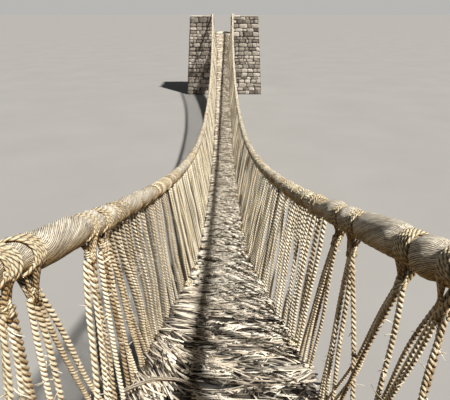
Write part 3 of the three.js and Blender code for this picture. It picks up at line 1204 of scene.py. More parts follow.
@dataclass
class Hangers:
    """The net of hanger ropes on one side of the deck.

    Args:
        side: which side.
        groups: the hangers that are gathered next to the near end.
        curtain: distance from the near face where the close hangers start.
        lean: how much further on the first of them reach the deck.
        upright: distance from which they hang straight down.
        rng: source of the small differences.
        tones: darkest and palest shade.
        shade: painted shade where they face along the bridge, least and most.
        shaded_rate: how common hangers painted dark all over are here, beside what the grades say.
        group_tones: darkest and palest shade of the gathered hangers.
        group_shade: painted shade of these where they face along the bridge, least and most.
        bays: pieces that the net is made in.
        last: distance where the hangers end.
        radius: radius of a close hanger.
        cord: radius of the thin cords.
        twist: length of one turn of a hanger's strands, as a multiple of its radius.
        plain_rings: rings of a hanger without real strands.
        drop: how far below the mat's top the hangers end.
        neck: how far below the handrail's middle a group is tied.
        band: width of a group's band round the handrail.
        raised: how far its cord lies above the handrail.
        bulge: how far a hanger bends aside, as a rule.
        waver: how far it wavers besides.
        grades: how finely each stretch is made.
        wraps: the piece of the cords round the handrail.
        ties: the piece of the cords round the outer floor rope.
        laid_close: tops and feet of the hangers with real strands, as they are made.
    """

    side: Side
    groups: tuple[Group, ...]
    curtain: float
    lean: float
    upright: float
    rng: np.random.Generator
    tones: tuple[float, float] = (0.05, 1.0)
    shade: tuple[float, float] = (0.5, 1.0)
    shaded_rate: float = 1.0
    group_tones: tuple[float, float] = (-0.12, 0.68)
    group_shade: tuple[float, float] = (0.0, 0.4)
    bays: int = 6
    last: float = 27.72
    radius: float = 0.0135
    cord: float = 0.0055
    twist: float = 4.6
    plain_rings: int = 11
    drop: float = 0.13
    neck: float = 0.13
    band: float = 0.075
    raised: float = 0.003
    bulge: float = 0.011
    waver: float = 0.005
    grades: tuple[Grade, ...] = (
        Grade(2.9, 5, 8, (4, 4, 10), 0.06),
        Grade(4.3, 4, 7, (4, 4, 10), 0.12),
        Grade(8.0, 4, 0, (4, 3, 8), 0.15),
        Grade(99.0, 4, 0, (3, 2, 6), 0.15),
    )
    wraps: Heap = field(default_factory=Heap)
    ties: Heap = field(default_factory=Heap)
    laid_close: list[Array] = field(default_factory=list)

    def places(self) -> Array:
        """Spreads the close hangers, which hang a few together.

        Returns:
            Their distances from the near face.
        """
        s, found = self.curtain, []
        while s < self.last:
            for _ in range(self.rng.integers(2, 6)):
                found.append(s)
                s += self.rng.uniform(0.062, 0.082)
            s += 0.012
        found = np.array(found)
        return found[found < self.last]

    def feet(self, s: Array) -> Array:
        """Points where hangers meet the outer floor rope, beside the mat's edge."""
        x = self.side.value * (LINE.deck_half(s) + 0.012)
        return xyz(x, LINE.y(s), LINE.deck(s) - self.drop)

    def legs(self, heap: Heap, tops: Array, feet: Array, radius: float, grade: Grade,
             tones: tuple[float, float], shade: tuple[float, float]) -> None:
        """Adds hangers.

        Args:
            heap: the piece that they belong to.
            tops: upper ends.
            feet: lower ends.
            radius: radius of a hanger.
            grade: how finely they are made.
            tones: darkest and palest shade.
            shade: painted shade where they face along the bridge, least and most.
        """
        count, rng = len(tops), self.rng
        length = np.linalg.norm(feet - tops, axis=1).mean()
        lay = radius * self.twist
        rings = int(length / lay * grade.rings) or self.plain_rings
        t = np.linspace(0, 1, rings)[None, :, None]
        bulge = rng.normal(0, self.bulge, (count, 1, 3)) * (1, 1, 0)
        waver = rng.normal(0, self.waver, (count, 1, 3)) * (1, 1, 0)
        paths = tops[:, None] + (feet - tops)[:, None] * t
        paths = paths + bulge * np.sin(math.pi * t) + waver * np.sin(3 * math.pi * t)
        thick = radius * rng.uniform(0.88, 1.12, (count, 1))
        winding = length / lay * TURN * rng.uniform(0.86, 1.16, (count, 1))
        slack = rng.normal(0, 0.9, (count, 1)) * np.sin(rng.uniform(4, 9, (count, 1)) * t[..., 0])
        turns = rng.uniform(0, TURN, (count, 1)) - t[..., 0] * winding + slack
        tones = rng.uniform(*tones, count)
        shades = rng.uniform(*shade, count)
        # painted shade: some hangers are dark all over, standing for the shaded gaps between
        # hangers
        dark = rng.random(count) < grade.shaded_share * self.shaded_rate
        gloom = np.where(dark, rng.uniform(0.5, 0.95, count), 0.0)
        if grade.rings:
            self.laid_close.append(np.stack([tops, feet], 1))
            heap.laid(paths, thick, grade.sides, Y_AXIS, tones, turns, shades, gloom)
        else:
            # painted shade: the corners that face along the bridge are darker
            depths = 1 - 0.8 * shades[:, None, None] * np.array([0.0, 1.0, 0.0, 1.0])
            heap.sweep(paths, thick, Section.plain(4), Y_AXIS, tones, 0.0, 1,
                       depths * (1 - gloom[:, None, None]))

    def tangent(self, s: Array) -> Array:
        """Direction of the handrail."""
        return unit(LINE.rail_point(self.side, s + 0.01) - LINE.rail_point(self.side, s - 0.01))

    def wrap(self, middle: Array, along: Array) -> None:
        """Adds the band of cord round the handrail that holds a group.

        Args:
            middle: middle of the band.
            along: direction of the handrail there.
        """
        rng, steps, lean, uneven = self.rng, 14, 0.022, 0.0016
        turns = round(self.band / (2.1 * self.cord))
        wound = coils(middle[None], along, X_AXIS, LINE.rail_radius + self.raised, turns,
                      turns * steps, self.band / turns, lean, rng.uniform(0, TURN))
        drift = np.cumsum(rng.normal(0, 1, wound.shape[1]))
        drift -= np.linspace(0, drift[-1], len(drift))
        wound += uneven * np.outer(drift, along)
        self.wraps.sweep(wound, self.cord * rng.uniform(0.85, 1.2, (1, wound.shape[1])),
                         Section.plain(5), along, [0.6], math.pi, 1)

    def neck_cords(self, middle: Array, along: Array, knot: Array) -> None:
        """Adds the cords that run from the band down to the knot.

        Args:
            middle: middle of the band.
            along: direction of the handrail there.
            knot: place of the knot.
        """
        rng, count, around = self.rng, 11, LINE.rail_radius + self.raised
        angle = math.pi + rng.uniform(0.0, 1.0, count) * math.pi
        starts = (middle + (around * np.cos(angle))[:, None] * X_AXIS
                  + (around * np.sin(angle))[:, None] * Z_AXIS
                  + rng.uniform(-0.5, 0.5, count)[:, None] * self.band * along)
        ends = knot + rng.normal(0, 0.009, (count, 3)) * (1, 1, 0.4) + (0, 0, -0.03)
        bend = starts * 0.30 + ends * 0.70
        bend[:, 2] = starts[:, 2] * 0.60 + ends[:, 2] * 0.40
        t = np.linspace(0, 1, 9)[None, :, None]
        paths = ((1 - t) ** 2 * starts[:, None] + 2 * t * (1 - t) * bend[:, None]
                 + t * t * ends[:, None])
        self.wraps.sweep(paths, self.cord * rng.uniform(0.9, 1.4, (count, 1)), Section.plain(4),
                         Y_AXIS, rng.uniform(0, 1, count), rng.uniform(-1, 1, (count, 1)), 1)

    def gathered(self, heap: Heap, group: Group) -> None:
        """Adds one group: its band, the neck and the knot below it, and its hangers.

        Args:
            heap: the piece of the hangers.
            group: the group.
        """
        middle, along = LINE.rail_point(self.side, group.at), self.tangent(group.at)
        self.wrap(middle, along)
        knot = middle + (0, 0.01, -self.neck)
        knot[0] = self.side.value * (abs(knot[0]) - 0.012)
        self.neck_cords(middle, along, knot)
        tied, turns, steps, pitch, lean = group.radius * 1.5, 2.6, 36, 0.011, 0.008
        ties = coils(knot[None] + np.array([[0, 0, 0.010], [0, 0.004, -0.016]]), Z_AXIS, X_AXIS,
                     tied, turns, steps, pitch, lean, self.rng.uniform(0, TURN, 2))
        self.wraps.sweep(ties, self.cord, Section.plain(5), Z_AXIS, [0.8, 0.5], math.pi, 1)
        ropes = len(group.feet)
        spread = np.arange(ropes) - (ropes - 1) / 2
        tops = knot + np.outer(spread * group.radius, (0.25, 1.3, 0)) + (0, 0, -0.005)
        self.legs(heap, tops, self.feet(np.array(group.feet)), group.radius, self.grades[0],
                  self.group_tones, self.group_shade)

    def build(self) -> Array:
        """Makes the pieces of this side.

        Returns:
            Tops and feet of the hangers with real strands, as (hangers, 2, 3).
        """
        heaps = [Heap() for _ in range(self.bays)]
        length = LINE.span / self.bays
        for group in self.groups:
            self.gathered(heaps[0], group)
            self.foot_ties(np.array(group.feet), self.grades[0])
        s = self.places()
        lean = self.lean * rise(s, self.upright, self.curtain)
        foot = s + lean + self.rng.normal(0, 0.010, len(s))
        tops = LINE.rail_point(self.side, s)
        tops += (self.side.value * 0.012, 0, 0.015 - LINE.rail_radius)
        feet = self.feet(foot)
        start = 0.0
        for grade in self.grades:
            within = (s >= start) & (s < grade.end)
            for bay in range(self.bays):
                inside = within & (s // length == bay)
                if inside.any():
                    self.legs(heaps[bay], tops[inside], feet[inside], self.radius, grade,
                              self.tones, self.shade)
            self.hitches(s[within], grade)
            if grade.rings:
                self.collars(tops[within], feet[within])
            self.foot_ties(foot[within], grade)
            start = grade.end
        word = self.side.word
        for bay, heap in enumerate(heaps):
            made = heap.build(f"hangers_{word}_{bay + 1}")
            place(made, [Finish.HANGER, Finish.FAR_HANGER], "hanger_rope",
                  f"side_net_{word}_{bay + 1}")
        place(self.wraps.build(f"rail_hitches_{word}"), [Finish.HANGER, Finish.HITCH],
              "hanger_rope")
        place(self.ties.build(f"foot_hitches_{word}"), [Finish.HITCH], "hanger_rope")
        return np.concatenate(self.laid_close)

    def hitches(self, s: Array, grade: Grade) -> None:
        """Adds the thin cord turns that hold each hanger on the handrail.

        Args:
            s: distances of the tops.
            grade: how finely they are made.
        """
        rng, count = self.rng, len(s)
        sides, turns, steps = grade.hitch
        pinches = np.array([group.at for group in self.groups])
        radius = LINE.rail_radius * Handrails().plump(s, pinches)
        radius += rng.normal(-0.001, 0.0012, count)
        wound = coils(LINE.rail_point(self.side, s), self.tangent(s), X_AXIS, radius, turns,
                      turns * steps, rng.normal(0.016, 0.004, count),
                      rng.normal(0.014, 0.010, count), rng.uniform(0, TURN, count))
        self.wraps.sweep(wound, self.cord * rng.uniform(0.8, 1.3, (count, 1)), Section.plain(sides),
                         Y_AXIS, rng.uniform(0, 1, count), math.pi, 1)

    def collars(self, tops: Array, feet: Array) -> None:
        """Adds the cord turns round the top of each hanger, below the handrail.

        Args:
            tops: upper ends of the hangers.
            feet: lower ends.
        """
        rng, count = self.rng, len(tops)
        down = unit(feet - tops)
        middles = tops + down * rng.uniform(0.012, 0.045, (count, 1))
        turns, steps, pitch = 1.4, 10, 0.011
        wound = coils(middles, down, X_AXIS, self.radius + 0.001, turns, steps, pitch,
                      rng.normal(0.002, 0.004, count), rng.uniform(0, TURN, count))
        self.wraps.sweep(wound, self.cord * rng.uniform(0.8, 1.3, (count, 1)), Section.plain(4),
                         Z_AXIS, rng.uniform(0, 1, count), math.pi, 1)

    def foot_ties(self, foot: Array, grade: Grade) -> None:
        """Adds the turn of cord round the outer floor rope at each foot.

        Args:
            foot: distances of the feet.
            grade: how finely they are made.
        """
        sides, _, steps = grade.hitch
        radius, raised, turns, pitch, lean = 0.011, 0.008, 1.1, 0.01, 0.006
        wound = coils(LINE.cable_point(LANES[-1] * self.side.value, foot), Y_AXIS, X_AXIS,
                      LINE.floor_radius + raised, turns, steps + 1, pitch, lean,
                      self.rng.uniform(0, TURN, len(foot)))
        self.ties.sweep(wound, radius, Section.plain(sides), Y_AXIS,
                        self.rng.uniform(0, 1, len(foot)))


# Mat


@dataclass(frozen=True)
class Layer:
    """Sticks or brush laid across the deck, in bundles.

    Args:
        start: distance from the near face where the layer starts.
        end: where it ends.
        bundles: bundles on each metre.
        count: sticks in a bundle.
        share: shortest and longest bundle, as a share of the mat's width.
        radius: thinnest and thickest stick.
        level: height of the lowest sticks, measured from the mat's top.
        hump: how much higher the middle of a bundle lies.
        width: distance from a bundle's first stick to its last.
        yaw: how far bundles turn from square to the deck.
        bow: how far they bend.
        tones: darkest and palest shade.
        sides: corners of their section.
        rings: points along them.
        gloom: share of the sticks that are painted darker, as painted shade of sticks in the dark.
        zone: where the bundles' middles lie across the mat, as shares of half its width.
        stray: how far a stick turns from its bundle.
    """

    start: float
    end: float
    bundles: float
    count: int
    share: tuple[float, float]
    radius: tuple[float, float]
    level: float
    hump: float
    width: float
    yaw: float
    bow: float
    tones: tuple[float, float] = (0.0, 1.0)
    sides: int = 3
    rings: int = 4
    gloom: float = 0.0
    zone: tuple[float, float] = (-1.0, 1.0)
    stray: float = 0.16

    @property
    def fans(self) -> bool:
        """Whether the bundles turn where the mat widens, as all but the long sticks do."""
        return self.sides == 3


@dataclass
class Mat:
    """The mat of crosswise sticks and brush on the floor ropes.

    Args:
        rng: source of the small differences.
        bays: pieces that the mat is made in between the faces.
        overrun: how far it runs on behind each face.
        core_top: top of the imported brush, measured from the mat's top.
        core_bottom: its underside, measured from there too.
        highest: how far above the mat's top a stick may lie.
        past_edge: how far bundles reach past the mat's edge.
        droop: how steeply sticks hang down there.
        layers: the layers of sticks and brush.
        hollows: x, distance, half width and half length of each hollow.
        hollow_depth: how far sticks sink in there.
        bridging: share of them that lie across without sinking.
    """

    rng: np.random.Generator
    bays: int = 12
    overrun: float = 3.2
    core_top: float = -0.030
    core_bottom: float = -0.052
    highest: float = 0.012
    past_edge: float = 0.035
    droop: float = 0.35
    layers: tuple[Layer, ...] = (
        Layer(-3.2, 31.2, 20, 1, (0.85, 1.04), (0.006, 0.010), -0.032, 0.006, 0.0, 0.07, 0.03,
              (0.0, 0.5), 5, 6, 0.85),
        Layer(-3.2, 31.2, 12, 1, (0.90, 1.08), (0.008, 0.012), -0.055, 0.004, 0.0, 0.07, 0.02,
              (0.0, 0.6), 4, 5),
        Layer(-3.2, 1.7, 12, 6, (0.3, 0.8), (0.004, 0.008), -0.018, 0.012, 0.06, 0.2, 0.05,
              (0.2, 1.0), gloom=0.2),
        Layer(1.7, 3.2, 28, 8, (0.26, 0.62), (0.0036, 0.0062), -0.019, 0.022, 0.062, 0.20, 0.05,
              (0.0, 1.0), rings=5, gloom=0.36, zone=(-0.4, 1.0), stray=0.22),
        Layer(3.2, 4.8, 38, 7, (0.14, 0.38), (0.0038, 0.0062), -0.021, 0.020, 0.055, 0.34, 0.04,
              (0.45, 1.05), gloom=0.12),
        # painted light: these sticks are paler to make up for the net's shadow on the deck
        Layer(4.8, 9.0, 24, 7, (0.18, 0.50), (0.0042, 0.0070), -0.020, 0.018, 0.058, 0.34, 0.05,
              (0.85, 1.25), gloom=0.06),
        Layer(9.0, 31.2, 15, 4, (0.30, 0.75), (0.005, 0.009), -0.017, 0.012, 0.06, 0.28, 0.05,
              (0.60, 1.1), gloom=0.06),
        Layer(1.9, 4.0, 34, 5, (0.24, 0.46), (0.0048, 0.0072), -0.016, 0.018, 0.075, 0.13, 0.02,
              (0.1, 0.8), gloom=0.22, zone=(-1.0, -0.42), stray=0.10),
        Layer(2.0, 4.8, 150, 2, (0.06, 0.16), (0.0032, 0.0052), -0.004, 0.008, 0.02, 0.65, 0.012,
              (0.35, 1.05), 3, 3, 0.25, (-0.36, 1.0)),
        # painted light: these sticks are paler to make up for the net's shadow on the deck
        Layer(4.0, 9.0, 110, 2, (0.08, 0.20), (0.0038, 0.0062), -0.004, 0.008, 0.025, 0.60, 0.02,
              (0.85, 1.25), 3, 3, 0.08),
        Layer(9.0, 28.0, 34, 2, (0.12, 0.30), (0.0050, 0.0080), -0.004, 0.008, 0.03, 0.55, 0.03,
              (0.55, 1.1), 3, 3, 0.08),
    )
    hollows: tuple[tuple[float, float, float, float], ...] = (
        (0.05, 2.68, 0.15, 0.05), (0.28, 2.38, 0.17, 0.06), (-0.02, 2.36, 0.10, 0.04),
        (0.30, 2.96, 0.12, 0.03), (-0.02, 3.3, 0.10, 0.03), (0.2, 3.75, 0.1, 0.03))
    hollow_depth: float = 0.03
    bridging: float = 0.3

    def fan(self, x: Array, s: Array) -> Array:
        """Finds how far bundles turn where the mat widens at the near end.

        Args:
            x: places across the mat.
            s: distances from the near face.

        Returns:
            The angle at each place.
        """
        reach = rise(s, 3.95, 2.6) * rise(s, 0.6, 2.0)
        left, right = rise(x, -0.02, -0.34), rise(x, 0.1, 0.4)
        return reach * (0.14 * right - 1.05 * left)

    def hollow(self, x: Array, s: Array) -> Array:
        """Finds how deep points lie in a hollow of the mat.

        Args:
            x: places across the mat.
            s: distances from the near face.

        Returns:
            0 outside the hollows, 1 at the middle of one.
        """
        deep = np.zeros(x.shape)
        for middle, at, wide, long in self.hollows:
            away = ((x - middle) / wide) ** 2 + ((s - at) / long) ** 2
            deep = np.maximum(deep, np.exp(-away * away))
        return deep

    def lay(self, layer: Layer) -> tuple[Array, Array, Array, Array, Array]:
        """Lays out one layer.

        Args:
            layer: what it is made of.

        Returns:
            Distance, path, radius, tone and depth of each stick; low depths give painted shade.
        """
        rng = self.rng
        bundles = int((layer.end - layer.start) * layer.bundles)
        s = np.sort(rng.uniform(layer.start, layer.end, bundles))
        half = LINE.deck_half(s)
        length = 2 * half * rng.uniform(*layer.share, bundles)
        x = rng.uniform(*layer.zone, bundles) * half
        yaw = rng.normal(0, layer.yaw, bundles) + self.fan(x, s) * layer.fans
        reach = np.abs(np.cos(yaw)) * length / 2
        low = layer.zone[0] * half - self.past_edge + reach
        high = layer.zone[1] * half + self.past_edge - reach
        x = np.where(low < high, np.clip(x, low, high), (low + high) / 2)
        bow = rng.normal(0.5, 0.6, bundles) * layer.bow
        tone = rng.uniform(*layer.tones, bundles)
        level = rng.uniform(-0.004, 0.004, bundles)
        s, half, length, x, yaw, bow, tone, level = (
            np.repeat(v, layer.count) for v in (s, half, length, x, yaw, bow, tone, level))
        place_in = np.tile(np.linspace(-1, 1, layer.count) if layer.count > 1 else [0.0], bundles)
        count = len(s)
        aside = place_in * layer.width / 2 + rng.normal(0, 0.004, count)
        yaw = yaw + rng.normal(0, layer.stray, count) * (layer.count > 1)
        slide = rng.normal(0, 0.05, count) * length
        length = length * rng.uniform(0.7, 1.1, count)
        t = np.linspace(-1, 1, layer.rings)[None]
        bend = (bow + rng.normal(0, 0.3, count) * layer.bow)[:, None] * (1 - t * t)
        run = slide[:, None] + t * length[:, None] / 2
        px = x[:, None] + np.cos(yaw)[:, None] * run - np.sin(yaw)[:, None] * aside[:, None]
        ps = s[:, None] + np.sin(yaw)[:, None] * run + np.cos(yaw)[:, None] * aside[:, None] - bend
        over = np.maximum(np.abs(px) - half[:, None], 0)
        height = layer.level + layer.hump * (1 - place_in ** 2) * rng.uniform(0.5, 1, count) + level
        sinks = rng.random((count, 1)) > self.bridging
        sink = self.hollow_depth * sinks * self.hollow(px, ps)
        lift = height[:, None] + rng.normal(0, 0.003, (count, 1)) - sink
        lift = lift + rng.normal(0, 0.002, px.shape)
        pz = LINE.deck(ps) + np.minimum(lift, self.highest) - self.droop * over
        tones = np.clip(tone + rng.normal(0, 0.28, count), 0, 1.2)
        # painted shade: low-lying sticks and the share that gloom picks take the crevice colour,
        # less so beyond 4 m
        gloom = np.where(rng.random(count) < layer.gloom, rng.uniform(0, 0.35, count), 1.0)
        depths = rise(lift, self.core_top, self.core_top + 0.020) * gloom[:, None]
        depths = np.maximum(depths, 0.45 * rise(s, 4.0, 8.0)[:, None])
        return (s, np.stack([px, LINE.y(ps), pz], -1), rng.uniform(*layer.radius, count), tones,
                depths)

    def core(self, heap: Heap, start: float, end: float) -> None:
        """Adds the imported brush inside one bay.

        Args:
            heap: the bay's piece.
            start: distance where it starts.
            end: distance where it ends.
        """
        step, columns, inset = 0.12, 9, 0.012
        s = np.linspace(start, end, max(int((end - start) / step), 2))
        across = np.linspace(-1, 1, columns)
        half = LINE.deck_half(s) - inset
        ragged = self.rng.normal(0, 0.008, (len(s), 2))
        rough = self.rng.normal(0, 0.004, (len(s), len(across)))
        top = xyz(across[None] * half[:, None], LINE.y(s)[:, None],
                  (LINE.deck(s) + self.core_top)[:, None] + rough)
        top[:, 0, 0] += ragged[:, 0]
        top[:, -1, 0] += ragged[:, 1]
        bottom = top[:, ::-1].copy()
        bottom[..., 2] = (LINE.deck(s) + self.core_bottom)[:, None]
        rings = np.concatenate([top, bottom], 1)[None]
        grains = rings[..., [1, 2, 0]] * (1, 1, Heap.FIBRE)
        # painted shade: the brush between the sticks takes the crevice colour, most from 1.8 m to
        # 3.6 m
        core_shade = np.interp(s, (1.2, 1.8, 3.6, 6.5), (0.6, 0.05, 0.10, 0.7))
        heap.loft(rings, [0.5], core_shade[None, :, None], 1, grains)

    def build(self) -> None:
        """Makes one piece for each bay and each passage."""
        length = LINE.span / self.bays
        edges = [-self.overrun] + [k * length for k in range(self.bays + 1)]
        edges.append(LINE.span + self.overrun)
        names = [("near_passage_sticks", "near_passage_mat")]
        names += [(f"mat_{k + 1:02d}", f"deck_mat_{k + 1:02d}") for k in range(self.bays)]
        names.append(("far_passage_sticks", "far_passage_mat"))
        heaps = [Heap() for _ in names]
        for heap, start, end in zip(heaps, edges, edges[1:]):
            self.core(heap, start, end)
        for layer in self.layers:
            s, paths, radii, tones, depths = self.lay(layer)
            for k, heap in enumerate(heaps):
                inside = (s >= edges[k]) & (s < edges[k + 1])
                if inside.any():
                    heap.sweep(paths[inside], radii[inside][:, None], Section.plain(layer.sides),
                               Z_AXIS, tones[inside], depths=depths[inside][..., None])
        for heap, (name, node) in zip(heaps, names):
            place(heap.build(name), [Finish.STICK, Finish.BRUSH], "stick_mat", node)


# Abutments


def edge(x: Measure, back: Measure, low: float, high: float) -> list[Point]:
    """Lower and upper end of an upright edge; x and back may be what gives them at a height."""
    return [(*(m(z) if callable(m) else m for m in (x, back)), z) for z in (low, high)]


def panel(first: list[Point], second: list[Point], swapped: bool = False) -> Corners:
    """Corners of the face between two edges; the first is the left one unless swapped."""
    left, right = (second, first) if swapped else (first, second)
    return left[0], right[0], right[1], left[1]


@dataclass
class Abutment:
    """One abutment. Its own x, d, z run across, back from the face, and up.

    Args:
        end: which abutment.
        rng: source of the small differences.
        course: usual height of a course of rubble.
        stone: usual length of a stone.
        slab_row: usual width of a cap slab.
        slab: usual length of a cap slab.
        joint: half the gap between two stones.
    """

    end: End
    rng: np.random.Generator
    course: float = 0.21
    stone: float = 0.33
    slab_row: float = 0.62
    slab: float = 0.74
    joint: float = 0.006

    def world(self, points: Array) -> Array:
        """The abutment's own points, set in their place on the bridge."""
        turned = np.asarray(points, float) * (self.end.value, self.end.value, 1)
        return turned + (0, self.end.value * LINE.span / 2, 0)

    def faces(self) -> list[Corners]:
        """Lists the faces that are built of stones.

        Returns:
            Corners of each: low left, low right, high right and high left.
        """
        sizes = ABUTMENT
        ground, mid, top, trench = 0.0, sizes.base_top, sizes.pier_top, sizes.trench_floor
        front, back, pier = sizes.front, sizes.back, sizes.pier
        left, right = partial(sizes.outside, -1), partial(sizes.outside, 1)
        found = [
            panel(edge(left, front, ground, mid), edge(right, front, ground, mid)),
            panel(edge(right, back, ground, mid), edge(left, back, ground, mid)),
            panel(*([(outer(mid), d, mid) for d in (sizes.trench_end, sizes.ledge)]
                    for outer in (left, right))),
        ]
        for sign, outer in ((-1, left), (1, right)):
            for low, high, first, second in (
                    (ground, trench, front, back), (trench, mid, front, pier),
                    (trench, mid, sizes.trench_end, back), (mid, top, front, pier)):
                found.append(panel(edge(outer, first, low, high), edge(outer, second, low, high),
                                   sign < 0))
            gate = sign * sizes.gate_half
            found.append(panel(edge(gate, front, mid, top), edge(gate, pier, mid, top), sign > 0))
            found.append(panel(edge(outer, front, mid, top), edge(gate, front, mid, top),
                               sign > 0))
            found.append(panel(edge(outer, pier, mid, top), edge(gate, pier, mid, top), sign < 0))
        return found

    def cells(self, width: float, height: float, course: float, stone: float) -> Array:
        """Splits a face into stones.

        Args:
            width: width of the face.
            height: height of the face.
            course: usual height of a course.
            stone: usual length of a stone.

        Returns:
            Left, right, bottom and top of each stone.
        """
        rng, found = self.rng, []
        rows = np.cumsum(rng.uniform(0.6, 1.45, max(1, round(height / course))))
        rows = np.concatenate([[0], rows / rows[-1] * height])
        for bottom, top in zip(rows, rows[1:]):
            longer = stone * (0.6 + 0.4 * (top - bottom) / course)
            joints = np.cumsum(rng.uniform(0.5, 1.5, max(1, round(width / longer))))
            joints = np.concatenate([[0], joints / joints[-1] * width])
            found += [(a, b, bottom, top) for a, b in zip(joints, joints[1:])]
        return np.array(found)

    def stones(self, heap: Heap, corners: Corners, cells: Array,
               proud: tuple[float, float], sunk: float, flat_to: float = 0.5,
               jitter: float = 0.012) -> None:
        """Adds stones to one face.

        Args:
            heap: the piece that they belong to.
            corners: low left, low right, high right and high left corner of the face.
            cells: left, right, bottom and top of each stone.
            proud: how far the stones stand out, least and most.
            sunk: how far they reach behind the face.
            flat_to: where the face of a stone starts to round off, from 0 to 1.
            jitter: how uneven their corners are.
        """
        rng, count = self.rng, len(cells)
        blunt, tilted, leaning, dented = 0.22, 0.25, 0.6, 0.0018
        rim_height, rim_tilt = 0.35, 0.4
        c00, c10, c11, c01 = np.array(corners)
        wide, high = cells[:, 1].max(), cells[:, 3].max()
        normal = unit(np.cross(c10 - c00, c01 - c00))
        ticks = np.array([-1, -flat_to, flat_to, 1])
        b, a = np.meshgrid(ticks, ticks, indexing="ij")
        a, b = a * np.sqrt(1 - blunt * b * b), b * np.sqrt(1 - blunt * a * a)
        u = (cells[:, 0] + cells[:, 1])[:, None, None] / 2 + a * (
            (cells[:, 1] - cells[:, 0])[:, None, None] / 2 - self.joint)
        v = (cells[:, 2] + cells[:, 3])[:, None, None] / 2 + b * (
            (cells[:, 3] - cells[:, 2])[:, None, None] / 2 - self.joint)
        warp = rng.normal(0, jitter, (count, 2, 2, 2))
        u = u + warp[:, 0, 0, :1, None] * a + warp[:, 0, 1, :1, None] * b
        v = v + warp[:, 1, 0, :1, None] * a * b + warp[:, 1, 1, :1, None] * b
        u, v = np.clip(u / wide, 0, 1)[..., None], np.clip(v / high, 0, 1)[..., None]
        flat = (1 - v) * ((1 - u) * c00 + u * c10) + v * ((1 - u) * c01 + u * c11)
        rim = np.maximum(np.abs(a), np.abs(b)) > flat_to + 0.02
        height = rng.uniform(*proud, (count, 1, 1)) * np.where(rim, rim_height, 1.0)
        tilt = rng.normal(0, tilted, (count, 2, 1, 1)) * proud[1]
        height = height + np.where(rim, rim_tilt, 1) * (tilt[:, 0] * a + tilt[:, 1] * b) * leaning
        height = np.minimum(height + rng.normal(0, dented, height.shape), proud[1])
        side = len(ticks)
        face = side * side
        loop = [0, 1, 2, 3, 7, 11, 15, 14, 13, 12, 8, 4]
        grid = (flat + height[..., None] * normal).reshape(count, face, 3)
        back = flat.reshape(count, face, 3)[:, loop] - sunk * normal
        points = self.world(np.concatenate([grid, back], 1))
        points[..., 2] = np.maximum(points[..., 2], 0.0)
        base = (np.arange(count) * (face + len(loop)))[:, None, None]
        inner = [[k, k + 1, k + side + 1, k + side]
                 for row in range(side - 1) for k in range(row * side, row * side + side - 1)]
        ahead = loop[1:] + loop[:1]
        skirt = [[face + k, face + (k + 1) % len(loop), ahead[k], loop[k]]
                 for k in range(len(loop))]
        rear = [[face, face + k + 1, face + k] for k in range(1, len(loop) - 1)]
        # painted shade: each stone's sides, which go back into the wall, get a depth of 0
        depths = np.concatenate([np.where(rim, 0.75, 1.0).ravel(), np.zeros(len(loop))])
        heap.add(points, base + np.array(inner + skirt)[None], base + np.array(rear)[None],
                 rng.beta(1.5, 1.5, (count, 1)), depths)

    def masonry(self) -> None:
        """Makes the rubble facing and finishes the solids behind it."""
        heap = Heap()
        for corners in self.faces():
            points = np.array(corners)
            width = np.linalg.norm(points[1] - points[0] + points[2] - points[3]) / 2
            height = np.linalg.norm(points[3] - points[0] + points[2] - points[1]) / 2
            cells = self.cells(width, height, self.course, self.stone)
            self.stones(heap, corners, cells, (0.010, 0.026), 0.03)
        word = self.end.word
        place(heap.build(f"{word}_rubble"), [Finish.RUBBLE], "masonry")
        for name in ("base", "pier_left", "pier_right"):
            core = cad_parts[f"{word}_{name}"]
            core.data.materials.clear()
            core.data.materials.append(Finish.CORE.material)

    def caps(self) -> None:
        """Makes the slabs on the two piers."""
        relief, word = 0.008, self.end.word
        thickness = ABUTMENT.cap_top - ABUTMENT.pier_top
        start = ABUTMENT.front(ABUTMENT.pier_top) - ABUTMENT.overhang
        top = ABUTMENT.cap_top - relief
        for sign in (-1, 1):
            outer = ABUTMENT.outside(sign, ABUTMENT.pier_top) + sign * ABUTMENT.overhang
            x0, x1 = sorted((outer, sign * ABUTMENT.gate_half))
            corners = ((x0, start, top), (x1, start, top), (x1, ABUTMENT.pier, top),
                       (x0, ABUTMENT.pier, top))
            cells = self.cells(x1 - x0, ABUTMENT.pier - start, self.slab_row, self.slab)
            heap = Heap()
            self.stones(heap, corners, cells, (relief / 2, relief), thickness - relief - 0.001,
                        0.94, 0.006)
            side = "left" if sign * self.end.value < 0 else "right"
            place(heap.build(f"{word}_cap_slabs_{side}"), [Finish.SLAB], "capstone",
                  f"{word}_capstones_{side}")

    def anchor_log(self) -> None:
        """Makes the log in the trench."""
        word, reach = self.end.word, ABUTMENT.log_half
        x = np.linspace(-1, 1, 34)
        x = np.sign(x) * np.abs(x) ** 0.8 * reach
        path = ABUTMENT.log_point(self.end, x)
        furrow, swell, taper, ends = 0.05, 0.012, 0.02, 0.9
        factors = 1 - furrow * np.abs(self.rng.normal(0, 0.6, 26))
        # painted shade: the log's furrows get low depths and take the crevice colour
        section = Section(factors, (factors - factors.min()) / np.ptp(factors))
        radii = ABUTMENT.log_radius * (1 + swell * np.sin(x * 5) - taper * x / reach)
        radii[[0, -1]] *= ends
        heap = Heap()
        heap.sweep(path[None], radii[None], section, Z_AXIS, [0.5], 0.25 * x[None])
        place(heap.build(f"{word}_log"), [Finish.WOOD], "log", f"{word}_anchor_log")


# Small things


